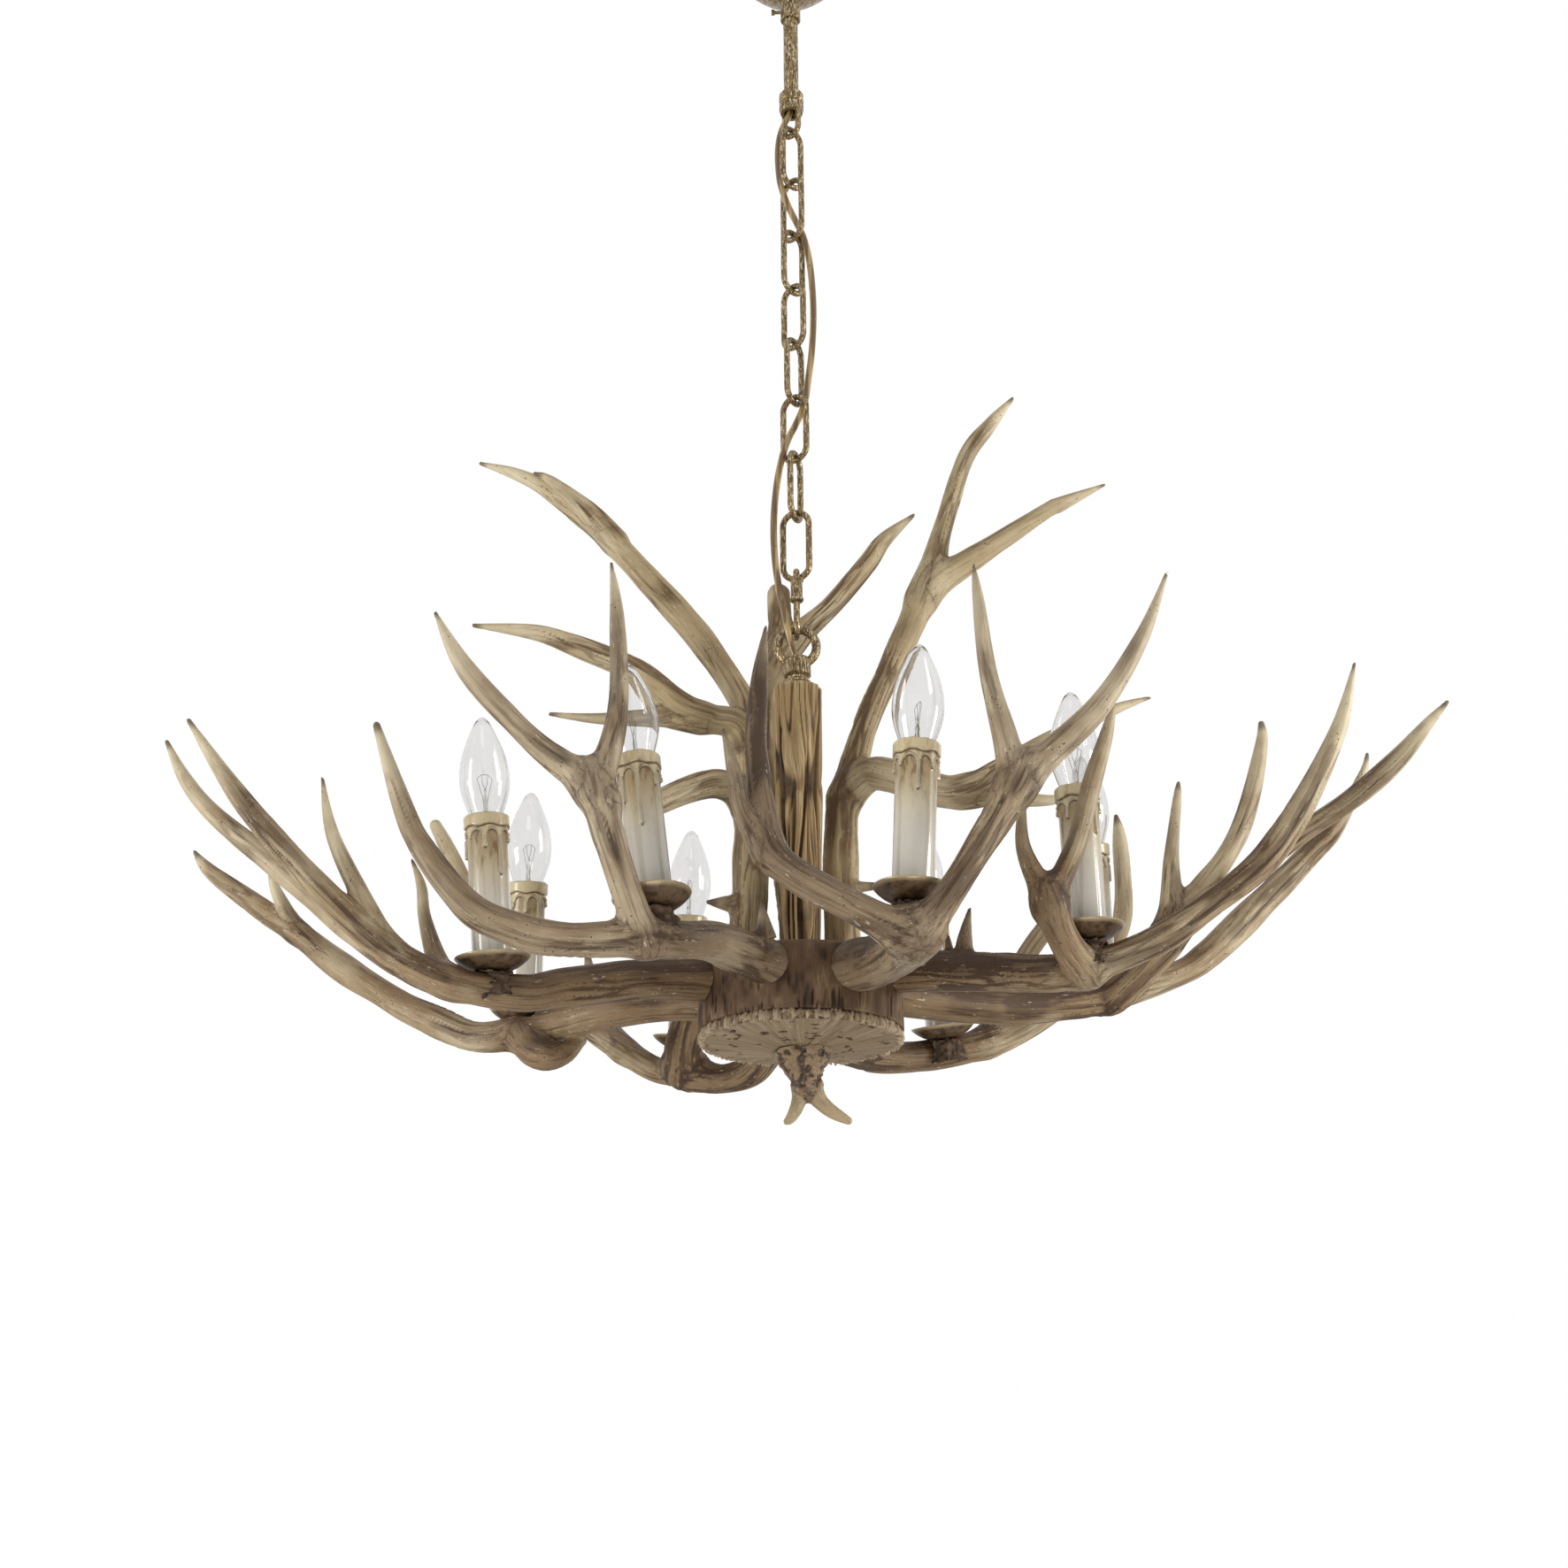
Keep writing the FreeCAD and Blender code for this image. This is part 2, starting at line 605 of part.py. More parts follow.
def make_nipple():
    bore = size("wire_bore_radius")
    radius = size("nipple_radius")
    length = size("nipple_length")
    return lift(turned("threaded_nipple", [(bore, 0), (radius, 0), (radius, length), (bore, length)]),
                -length)


def make_nipple_nut():
    nut = lift(hex_prism("nipple_nut_block", size("nut_flats"), size("nut_height")),
               -size("bracket_thickness") - size("nut_height"))
    hole = lift(cylinder("nipple_nut_hole", size("nipple_radius"), 3 * size("nut_height")),
                -size("bracket_thickness") - 2 * size("nut_height"))
    return cut("nipple_nut", nut, hole)


def make_canopy():
    """A thin dome, open at the ceiling, with a hole for the stem."""
    radius = size("canopy_radius")
    height = size("canopy_height")
    wall = size("canopy_wall")
    dome = size("canopy_dome_radius")
    hole = size("stem_radius") + 2 * size("sliding_clearance")
    return lift(turned("canopy", [
        (hole, 0), (hole + wall, 0, dome), (radius, height), (radius - wall, height, wall - dome),
        (hole, wall)]), -height)


def make_canopy_collar():
    bore = size("stem_radius") + size("sliding_clearance")
    radius = size("collar_radius")
    height = size("collar_height")
    foot = -size("canopy_height") - height
    ring = lift(turned("collar_ring", [
        (bore, 0), (radius - 1, 0), (radius, 1), (radius, height), (bore, height)]), foot)
    hole = cylinder("collar_screw_hole", size("thumb_screw_radius") + size("thread_clearance"),
                    2 * radius)
    hole.Placement = Placement(Vector(), Rotation(Vector(0, 1, 0), -90))
    lift(hole, foot + height / 2)
    return cut("canopy_collar", ring, hole)


def make_collar_screw():
    """The thumb screw that bears on the stem, with a flattened round head."""
    start = size("stem_radius") + size("wire_gap")
    end = size("collar_radius") + size("thumb_screw_shank_out")
    shank = cylinder("collar_screw_shank", size("thumb_screw_radius"), end - start)
    head = cylinder("collar_screw_head", size("thumb_screw_head_radius"),
                    size("thumb_screw_head_height"))
    for piece, distance in ((shank, start), (head, end)):
        piece.Placement = Placement(Vector(), Rotation(Vector(0, 1, 0), -90))
        bind(piece, Placement__Base__x=-distance)
        lift(piece, -size("canopy_height") - size("collar_height") / 2)
    return fused("collar_screw", shank, head)


def make_stem_tube():
    radius = size("stem_radius")
    length = stem_top - coupling_top
    bore = size("nipple_radius")
    return lift(turned("stem_tube", [(bore, 0), (radius, 0), (radius, length), (bore, length)]),
                coupling_top)


def make_stem_loop():
    """The ribbed coupling with its hollow chamber, and the wire loop that the chain hangs on."""
    radius = size("coupling_radius")
    waist = size("coupling_waist_radius")
    height = size("coupling_height")
    chamber = size("coupling_chamber_radius")
    bore = size("wire_bore_radius")
    rib = height * 0.1
    coupling = lift(turned("coupling", [
        (chamber, 0), (waist, 0), (radius, rib * 2), (radius, rib * 4), (waist, rib * 5),
        (radius, rib * 6), (radius, rib * 9), (waist, height), (bore, height),
        (bore, size("coupling_chamber_height")), (chamber, size("coupling_chamber_height"))]),
        coupling_foot)
    wire = size("loop_wire")
    width = size("loop_width")
    bend_centre = loop_foot + width / 2
    bend = half_ring("loop_bend", wire, width, bend_centre, True)
    legs = [wire_leg("loop_leg_" + name, wire, width, bend_centre, coupling_foot - bend_centre, side)
            for name, side in (("left", -1), ("right", 1))]
    loop = fused("loop", bend, *legs)
    loop.Placement = Placement(Vector(), Rotation(UP, LOOP_TURN))
    return fused("stem_loop", coupling, loop)


def make_cord_in_stem():
    """The cord's straight stretch inside the stem, from the ceiling to the coupling's chamber."""
    return lift(labelled(cylinder("cord_in_stem", size("cord_radius"), -cord_top)), cord_top)


def labelled(feature):
    feature.Label = feature.Name
    return feature


# -------------------------------------------------------------------------------------------- chain
def make_chain():
    links = []
    for number, turn in enumerate(LINK_TURNS, start=1):
        foot = first_link_top - (number - 1) * link_pitch - size("link_length")
        link = wire_loop("chain_link_{}".format(number), size("link_wire"), size("link_width"),
                         size("link_length"), foot)
        link.Placement = Placement(Vector(), Rotation(UP, turn))
        links.append(link)
    return links


def make_quick_link():
    """A link with an open mouth in its front leg, which the sleeve nut closes."""
    wire = size("quick_wire")
    width = size("quick_width")
    length = size("quick_length")
    mouth = size("quick_mouth")
    loop = wire_loop("quick_link_wire", wire, width, length, quick_foot)
    gap = box("quick_link_mouth", 2 * wire, 2 * wire, mouth)
    bind(gap, Placement__Base__x=-(width - wire) / 2 - wire, Placement__Base__y=-wire)
    lift(gap, quick_leg_top - size("quick_mouth_drop") - mouth)
    link = cut("quick_link", loop, gap)
    link.Placement = Placement(Vector(), Rotation(UP, QUICK_TURN))
    return link


def make_quick_link_nut():
    """The sleeve nut with a small collar at each end, on the quick link's front leg."""
    bore = size("quick_wire") / 2 + size("thread_clearance")
    radius = size("quick_nut_radius")
    rim = radius + size("quick_nut_collar")
    length = size("quick_nut_length")
    nut = turned("quick_link_nut", [
        (bore, 0), (radius, 0), (rim, 1), (rim, 2), (radius, 3), (radius, length - 3),
        (rim, length - 2), (rim, length - 1), (radius, length), (bore, length)])
    bind(nut, Placement__Base__y=-(size("quick_width") - size("quick_wire")) / 2)
    return lift(nut, quick_leg_top - length)


# ---------------------------------------------------------------------------------------------- hub
def make_hub_ring():
    """The hanging ring on its turned base, with a funnel that leads the cord down into the rod."""
    wire = size("ring_wire")
    width = size("ring_width")
    height = size("ring_base_height")
    radius = size("ring_base_radius")
    neck = size("ring_base_neck_radius")
    base = lift(turned("ring_base", [
        (0, 0), (radius - 1, 0), (radius, 1), (radius, 2.5), (neck, 4.5), (neck, 6), (radius, 8),
        (radius, height - 3), (neck + 1, height), (0, height)]), column_top)
    ring = document.addObject("Part::Torus", "ring_round")
    ring.Placement = Placement(Vector(), Rotation(Vector(1, 0, 0), 90))
    bind(ring, Radius1=(width - wire) / 2, Radius2=wire / 2)
    lift(ring, ring_foot + width / 2)
    mouth = size("ring_mouth_radius")
    bore = size("wire_bore_radius")
    socket = size("rod_radius")
    depth = size("rod_socket_depth")
    passage = lift(turned("ring_passage", [
        (0, 0), (socket, 0), (socket, depth), (bore, depth), (bore, depth + 2), (mouth, height + 1),
        (0, height + 1)]), column_top)
    return cut("hub_ring", fused("ring_on_base", base, ring), passage)


def make_column():
    bore = size("rod_radius") + size("seat_clearance")
    height = size("column_height")
    return lift(turned("column", [
        (bore, 0), (size("column_bottom_radius"), 0), (size("column_top_radius"), height),
        (bore, height)]), drum_top)


def make_center_rod():
    """The threaded tube through column, drum and plate, with a window for the lamp wires."""
    bore = size("wire_bore_radius")
    radius = size("rod_radius")
    length = rod_top - rod_foot
    tube = lift(turned("rod_tube", [(bore, 0), (radius, 0), (radius, length), (bore, length)]),
                rod_foot)
    window = box("rod_window", 2 * radius, radius, size("rod_window_height"))
    bind(window, Placement__Base__y=-radius / 2)
    lift(window, drum_foot + (size("drum_height") - size("rod_window_height")) / 2)
    return cut("center_rod", tube, window)


def make_rod_nuts():
    """One nut under the drum's top and one on the bottom plate."""
    height = size("nut_height")
    feet = (drum_top - size("drum_top_thickness") - height, drum_foot)
    nuts = []
    for name, foot in zip(("upper", "lower"), feet):
        block = lift(hex_prism("rod_nut_" + name, size("nut_flats"), height), foot)
        hole = lift(cylinder("rod_nut_hole_" + name, size("rod_radius"), 3 * height), foot - height)
        nuts.append(cut("rod_nut_bored_" + name, block, hole))
    group = document.addObject("Part::Compound", "rod_nuts")
    group.Links = nuts
    return labelled(group)


def make_hub_drum():
    """A drum open below: its wall takes the side bolts and its top the top bolts."""
    radius = size("drum_radius")
    inner = radius - size("drum_wall")
    height = size("drum_height")
    ceiling = height - size("drum_top_thickness")
    bore = size("rod_radius") + size("seat_clearance")
    shell = lift(turned("drum_shell", [
        (inner, 0), (radius, 0), (radius, height), (bore, height), (bore, ceiling),
        (inner, ceiling)]), drum_foot)
    document.recompute()
    return coded("hub_drum", shell.Shape.cut(bolt_shapes(size("bolt_radius").value, False)))


def make_bottom_plate():
    bore = size("rod_radius") + size("seat_clearance")
    radius = size("plate_radius")
    depth = size("plate_depth")
    return lift(turned("bottom_plate", [
        (bore, 0), (size("plate_floor_radius"), 0), (radius, depth - size("plate_rim_height")),
        (radius, depth), (bore, depth)]), plate_foot)


# ----------------------------------------------------------------------------------- antler shapes
def between(before, start, end, after, share):
    """The circle at this share of the way from start to end, on a smooth curve through all four."""
    return tuple(
        0.5 * (2 * b + (c - a) * share + (2 * a - 5 * b + 4 * c - d) * share ** 2
               + (3 * b - 3 * c + d - a) * share ** 3)
        for a, b, c, d in zip(before, start, end, after))


def smoothed(circles):
    """The circles with more between them, so that the limb bends in short steps."""
    last = len(circles) - 1
    whole = []
    for index in range(last):
        start, end = circles[index], circles[index + 1]
        before, after = circles[max(index - 1, 0)], circles[min(index + 2, last)]
        run = (Vector(*end[:3]) - Vector(*start[:3])).Length
        steps = max(1, min(MOST_STEPS, round(run / LIMB_STEP)))
        whole.extend(between(before, start, end, after, step / steps) for step in range(steps))
    return whole + [circles[last]]


def limb_shape(circles):
    """A solid through the circles, with a rounded end at the last one."""
    circles = smoothed(circles)
    wires = []
    last = len(circles) - 1
    for index, (x, y, z, radius) in enumerate(circles):
        before = Vector(*circles[max(index - 1, 0)][:3])
        after = Vector(*circles[min(index + 1, last)][:3])
        ring = Part.Circle(Vector(x, y, z), (after - before).normalize(), radius)
        wires.append(Part.Wire([ring.toShape()]))
    x, y, z, radius = circles[last]
    return [Part.makeLoft(wires, True, True), Part.makeSphere(radius, Vector(x, y, z))]


def forked_shape(limbs):
    pieces = []
    for circles in limbs.values():
        pieces.extend(limb_shape(circles))
    return pieces[0].multiFuse(pieces[1:])


def heading_rotation(heading):
    """Turns +X to the heading, which is 0 at the front (-Y) and grows towards +X."""
    return Rotation(UP, heading - 90)


def side_placement(heading):
    """The frame of a side antler: on the drum's wall, at its mid height."""
    turn = heading_rotation(heading)
    foot = turn.multVec(Vector(size("drum_radius").value, 0, 0))
    foot.z = (drum_foot + size("drum_height") / 2).value
    return Placement(foot, turn)


def top_placement(heading):
    """The frame of a top antler: on the axis, at the drum's top."""
    return Placement(Vector(0, 0, drum_top.value), heading_rotation(heading))


def candle_frame(seat, lean):
    """The lamp's frame in its antler's frame: the seat, and +Z along the leaning candle."""
    axis = Vector(math.tan(math.radians(lean[0])), math.tan(math.radians(lean[1])), 1)
    return Placement(Vector(*seat), Rotation(UP, axis))


def seat_pocket(frame):
    """The room that a lamp's dish and sleeve need above an antler, in the antler's frame."""
    radius = size("dish_radius").value + size("dish_clearance").value
    pocket = Part.makeCylinder(radius, size("sleeve_height").value)
    pocket.Placement = frame.multiply(Placement(Vector(0, 0, size("burr_height").value), Rotation()))
    return pocket


def bolt_shape(radius, with_head):
    """A bolt along +X through a wall that starts at x = 0, with its head just off that wall."""
    grip = size("drum_wall").value + size("bolt_grip").value
    gap = size("bolt_head_gap").value
    along = Vector(1, 0, 0)
    shank = Part.makeCylinder(radius, gap + grip, Vector(-gap, 0, 0), along)
    if not with_head:
        return shank
    head_height = size("bolt_head_height").value
    head = Part.makeCylinder(size("bolt_head_radius").value, head_height,
                             Vector(-gap - head_height, 0, 0), along)
    return shank.fuse(head)


def bolt_placements():
    """Where every bolt goes: out through the drum's wall, and up through its top."""
    places = []
    for antler in SIDE_ANTLERS.values():
        inward = Vector(-size("drum_wall").value, 0, size("side_bolt_rise").value)
        places.append(side_placement(antler["heading"]).multiply(Placement(inward, Rotation())))
    for antler in TOP_ANTLERS.values():
        below = Vector(size("top_bolt_circle").value, 0, -size("drum_top_thickness").value)
        upright = Rotation(Vector(0, 1, 0), -90)
        places.append(top_placement(antler["heading"]).multiply(Placement(below, upright)))
    return places


def bolt_shapes(radius, with_head):
    bolts = []
    for place in bolt_placements():
        bolt = bolt_shape(radius, with_head)
        bolt.Placement = place
        bolts.append(bolt)
    return Part.makeCompound(bolts)


def candles_on(antler_name):
    return [candle_frame(seat, lean) for name, seat, lean in CANDLES if name == antler_name]


def make_antlers():
    """Every antler, cut to seat on the drum, drilled for its bolt and pocketed for its lamp."""
    antlers = []
    bolts = bolt_shapes(size("bolt_radius").value, False)
    for name, antler in SIDE_ANTLERS.items():
        place = side_placement(antler["heading"])
        radius = size("drum_radius").value
        depth = size("drum_height").value
        wall = Part.makeCylinder(radius, 2 * depth, Vector(-radius, 0, -depth))
        shape = forked_shape(antler["limbs"])
        shape = shape.cut([wall] + [seat_pocket(frame) for frame in candles_on(name)])
        antlers.append(coded(name, drilled(shape, bolts, place), place))
    for name, antler in TOP_ANTLERS.items():
        place = top_placement(antler["heading"])
        radius = size("drum_radius").value
        deck = Part.makeCylinder(radius, radius, Vector(0, 0, -radius))
        shape = forked_shape(antler["limbs"]).cut(deck)
        antlers.append(coded(name, drilled(shape, bolts, place), place))
    return antlers


def drilled(shape, bolts, place):
    """The antler's shape, in its own frame, less the bolts that stand in the object's frame."""
    tools = bolts.copy()
    tools.Placement = place.inverse()
    return largest_solid(shape.cut(tools))


def largest_solid(shape):
    return max(shape.Solids, key=lambda solid: solid.Volume)


def make_finial():
    """The forked stub under the plate, screwed onto the rod's end."""
    rod = Part.makeCylinder(size("rod_radius").value, 2 * size("rod_below_plate").value,
                            Vector(0, 0, -size("rod_below_plate").value))
    lid = Part.makeCylinder(size("plate_radius").value, size("rod_below_plate").value)
    shape = forked_shape(FINIAL_LIMBS).cut([rod, lid])
    return coded("finial", largest_solid(shape), Placement(Vector(0, 0, plate_foot.value), Rotation()))


# -------------------------------------------------------------------------------------- candle lamps
def candle_masters():
    """One lamp's pieces, turned about +Z with the seat at zero. Copies go onto the antlers."""
    stud = size("stud_radius")
    burr_top = size("burr_height")
    wall = size("dish_wall")
    sleeve_foot = burr_top + size("dish_floor")
    sleeve_height = size("sleeve_height")
    sleeve_top = sleeve_foot + sleeve_height
    collar_foot = sleeve_height - size("sleeve_collar_height")
    burr = lift(turned("burr_master", [
        (stud, 0), (size("burr_foot_radius"), 0), (size("burr_foot_radius"), size("burr_root") / 2),
        (size("burr_top_radius"), size("burr_root") + burr_top),
        (stud, size("burr_root") + burr_top)]), -size("burr_root"))
    rim = size("dish_radius")
    bowl = size("dish_bowl_radius")
    foot = size("dish_foot_radius")
    depth = size("dish_depth")
    floor = size("dish_floor")
    dish = lift(turned("dish_master", [
        (stud, 0), (foot, 0, bowl), (rim, depth), (rim - wall, depth + wall / 2, -bowl),
        (size("dish_floor_radius"), floor), (stud, floor)]), burr_top)
    bore = size("sleeve_bore_radius")
    body = size("sleeve_radius")
    collar = size("sleeve_collar_radius")
    sleeve = lift(turned("sleeve_master", [
        (bore, 0), (body, 0), (body, collar_foot - 2), (collar, collar_foot), (collar, sleeve_height - 1),
        (collar - 1, sleeve_height), (bore, sleeve_height)]), sleeve_foot)
    cup = size("socket_radius")
    cup_top = sleeve_top - size("socket_top_drop")
    cup_foot = cup_top - size("socket_height")
    cap = size("cap_radius")
    cap_bore = cap + size("thread_clearance")
    cap_room = size("cap_height") + 1
    stud_foot = burr_top - size("burr_root")
    socket = lift(turned("socket_master", [
        (0, 0), (stud, 0), (stud, cup_foot - stud_foot), (cup, cup_foot - stud_foot + 4),
        (cup, cup_top - stud_foot), (cap_bore, cup_top - stud_foot),
        (cap_bore, cup_top - stud_foot - cap_room), (0, cup_top - stud_foot - cap_room)]), stud_foot)
    root = sleeve_top - size("bulb_root_drop")
    neck = size("bulb_neck_radius")
    belly = size("bulb_belly_radius")
    belly_height = size("bulb_root_drop") + size("bulb_belly_rise")
    tip_height = size("bulb_root_drop") + size("bulb_tip_rise")
    tip = size("bulb_tip_radius")
    glass = lift(turned("glass_master", [
        (0, 0), (cap, 0), (neck, size("bulb_root_drop"), 3 * belly), (belly, belly_height, 5 * belly),
        (tip, tip_height - tip, tip), (0, tip_height)]), root)
    contact = cap / 3
    shell = lift(turned("cap_master", [
        (0, 0), (contact, 0), (contact * 2, 2), (cap, 4), (cap, size("cap_height")),
        (0, size("cap_height"))]), root - size("cap_height"))
    return {"burr_bases": burr, "drip_dishes": dish, "candle_sleeves": sleeve,
            "lamp_sockets": socket, "bulb_glass": glass, "bulb_cap": shell}


def lamp_placements():
    places = []
    for name, seat, lean in CANDLES:
        place = side_placement(SIDE_ANTLERS[name]["heading"])
        places.append(place.multiply(candle_frame(seat, lean)))
    return places


def placed(shape, place):
    copy = shape.copy()
    copy.Placement = place.multiply(copy.Placement)
    return copy


def make_lamps(antlers):
    masters = candle_masters()
    document.recompute()
    arms = {antler.Label: antler.Shape for antler in antlers}
    stud_length = 2 * size("burr_root").value
    nodes = []
    places = lamp_placements()
    burrs = []
    for (name, _, _), place in zip(CANDLES, places):
        burr = placed(masters["burr_bases"].Shape, place).cut(arms[name])
        burrs.append(largest_solid(burr))
    nodes.append(coded("burr_bases", Part.makeCompound(burrs)))
    sockets = []
    for (name, _, _), place in zip(CANDLES, places):
        socket = placed(masters["lamp_sockets"].Shape, place).cut(arms[name])
        sockets.append(largest_solid(socket))
    nodes.append(coded("lamp_sockets", Part.makeCompound(sockets)))
    for label in ("drip_dishes", "candle_sleeves"):
        copies = [placed(masters[label].Shape, place) for place in places]
        nodes.append(coded(label, Part.makeCompound(copies)))
    for label in ("bulb_glass", "bulb_cap"):
        for number, place in enumerate(places, start=1):
            copy = placed(masters[label].Shape, place)
            nodes.append(coded("{}_{}".format(label, number), copy))
    return nodes


# --------------------------------------------------------------------------------------------- cord
def cord_points():
    top = cord_top.value
    stretch = (top - cord_foot.value) / CORD_ROUTE[-1][2]
    return [Vector(across, back, top - drop * stretch) for across, back, drop in CORD_ROUTE]


def cord_path(points):
    """Straight runs joined by tangent arcs, each as large as its two runs allow."""
    edges = []
    start = points[0]
    radii = []
    for before, corner, after in zip(points, points[1:], points[2:]):
        into = (corner - before).normalize()
        out = (after - corner).normalize()
        half_turn = into.getAngle(out) / 2
        cut_back = 0.45 * min((corner - before).Length, (after - corner).Length)
        radius = cut_back / math.tan(half_turn)
        radii.append(radius)
        arc_start = corner - into * cut_back
        arc_end = corner + out * cut_back
        towards = (out - into).normalize()
        middle = corner + towards * (radius / math.cos(half_turn) - radius)
        edges.append(Part.LineSegment(start, arc_start).toShape())
        edges.append(Part.Arc(arc_start, middle, arc_end).toShape())
        start = arc_end
    edges.append(Part.LineSegment(start, points[-1]).toShape())
    return Part.Wire(edges), radii


def make_feed_cord():
    """The cord's free stretch down the chain."""
    points = cord_points()
    path, radii = cord_path(points)
    radius = size("cord_radius").value
    ring = Part.Circle(points[0], (points[1] - points[0]).normalize(), radius)
    tube = path.makePipeShell([Part.Wire([ring.toShape()])], True, False)
    expected = math.pi * radius ** 2 * path.Length
    print("feed cord length", round(path.Length, 1), "least radius", round(min(radii), 1),
          "volume ratio", round(tube.Volume / expected, 4))
    print("feed cord radii", [round(radius, 1) for radius in radii])
    return coded("feed_cord", tube)


def make_cord_in_column():
    """The cord's straight stretch inside the rod, down to the window in the drum."""
    foot = drum_foot + size("drum_height") / 2
    return lift(labelled(cylinder("cord_in_column", size("cord_radius"), cord_foot - foot)), foot)


# ---------------------------------------------------------------------------------- build and write
def check_document():
    for thing in document.Objects:
        if "Invalid" in thing.State or "Error" in thing.State:
            raise RuntimeError("{} has failed: {}".format(thing.Label, thing.State))


def write_parts(nodes):
    for node in nodes:
        if node.Shape.isNull() or not node.Shape.isValid():
            raise RuntimeError(node.Label + " has no valid shape")
    os.makedirs("parts", exist_ok=True)
    for node in nodes:
        node.Shape.exportStep(os.path.join("parts", node.Label + ".step"))


def build():
    nodes = [make_ceiling_bracket(), make_nipple(), make_nipple_nut(), make_canopy(),
             make_canopy_collar(), make_collar_screw(), make_stem_tube(), make_stem_loop(),
             make_cord_in_stem()]
    nodes.extend(make_chain())
    nodes.extend([make_quick_link(), make_quick_link_nut(), make_hub_ring(), make_column(),
                  make_center_rod(), make_rod_nuts(), make_hub_drum(), make_bottom_plate(),
                  make_finial()])
    antlers = make_antlers()
    nodes.extend(antlers)
    bolts = bolt_shapes(size("bolt_radius").value, True)
    nodes.append(coded("antler_bolts", bolts))
    nodes.extend(make_lamps(antlers))
    nodes.extend([make_feed_cord(), make_cord_in_column()])
    document.recompute()
    check_document()
    write_parts(nodes)
    print(len(nodes), "sub-parts, drum foot at", round(drum_foot.value, 1))


build()
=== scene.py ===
"""Looks for an antler chandelier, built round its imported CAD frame.

Everything is in metres in the frame of the CAD part: the origin is on the ceiling, +Z is up and the
photographed front faces -Y. The antlers are grown over their CAD solids from the same centre lines, so
that their grooves follow every beam and tine.
"""
import bpy
import json
import math
import numpy as np
from collections import namedtuple
from mathutils import Matrix, Vector


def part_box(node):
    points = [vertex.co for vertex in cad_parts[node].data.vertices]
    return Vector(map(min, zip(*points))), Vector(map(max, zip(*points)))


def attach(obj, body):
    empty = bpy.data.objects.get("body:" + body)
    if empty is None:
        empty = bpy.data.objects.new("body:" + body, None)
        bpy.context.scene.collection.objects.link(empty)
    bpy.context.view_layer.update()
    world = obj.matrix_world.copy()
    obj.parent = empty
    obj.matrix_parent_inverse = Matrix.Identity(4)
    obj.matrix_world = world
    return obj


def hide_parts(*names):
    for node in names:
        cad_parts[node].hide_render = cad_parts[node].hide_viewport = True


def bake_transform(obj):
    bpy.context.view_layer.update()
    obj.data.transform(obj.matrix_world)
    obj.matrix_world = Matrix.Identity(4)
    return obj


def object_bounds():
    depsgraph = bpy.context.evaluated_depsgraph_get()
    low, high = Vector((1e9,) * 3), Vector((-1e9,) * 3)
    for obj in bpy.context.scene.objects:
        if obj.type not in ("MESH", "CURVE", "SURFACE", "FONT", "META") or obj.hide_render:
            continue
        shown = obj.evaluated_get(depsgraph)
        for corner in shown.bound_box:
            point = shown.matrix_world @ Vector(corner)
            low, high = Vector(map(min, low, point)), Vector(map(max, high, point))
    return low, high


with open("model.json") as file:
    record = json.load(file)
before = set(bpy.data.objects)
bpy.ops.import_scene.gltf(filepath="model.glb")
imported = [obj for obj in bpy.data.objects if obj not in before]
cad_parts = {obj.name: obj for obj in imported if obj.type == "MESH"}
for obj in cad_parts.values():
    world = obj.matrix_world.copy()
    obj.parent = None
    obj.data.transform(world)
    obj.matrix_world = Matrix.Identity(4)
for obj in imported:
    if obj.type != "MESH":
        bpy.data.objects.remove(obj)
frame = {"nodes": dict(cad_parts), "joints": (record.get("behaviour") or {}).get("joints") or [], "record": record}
BOUNDS_OF_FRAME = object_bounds()

bl_info = {
    "name": "Antler chandelier",
    "version": (1, 0, 0),
    "blender": (4, 5, 0),
    "location": "View3D > Sidebar > Chandelier",
    "description": "Models and finishes an antler chandelier round its CAD frame",
    "category": "Add Mesh",
}

MM = 0.001
DRUM_LOW, DRUM_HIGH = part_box("hub_drum")
PLATE_LOW, PLATE_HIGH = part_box("bottom_plate")
COLUMN_LOW, COLUMN_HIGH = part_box("column")
DRUM_RADIUS = DRUM_HIGH.x
DRUM_MIDDLE = (DRUM_LOW.z + DRUM_HIGH.z) / 2

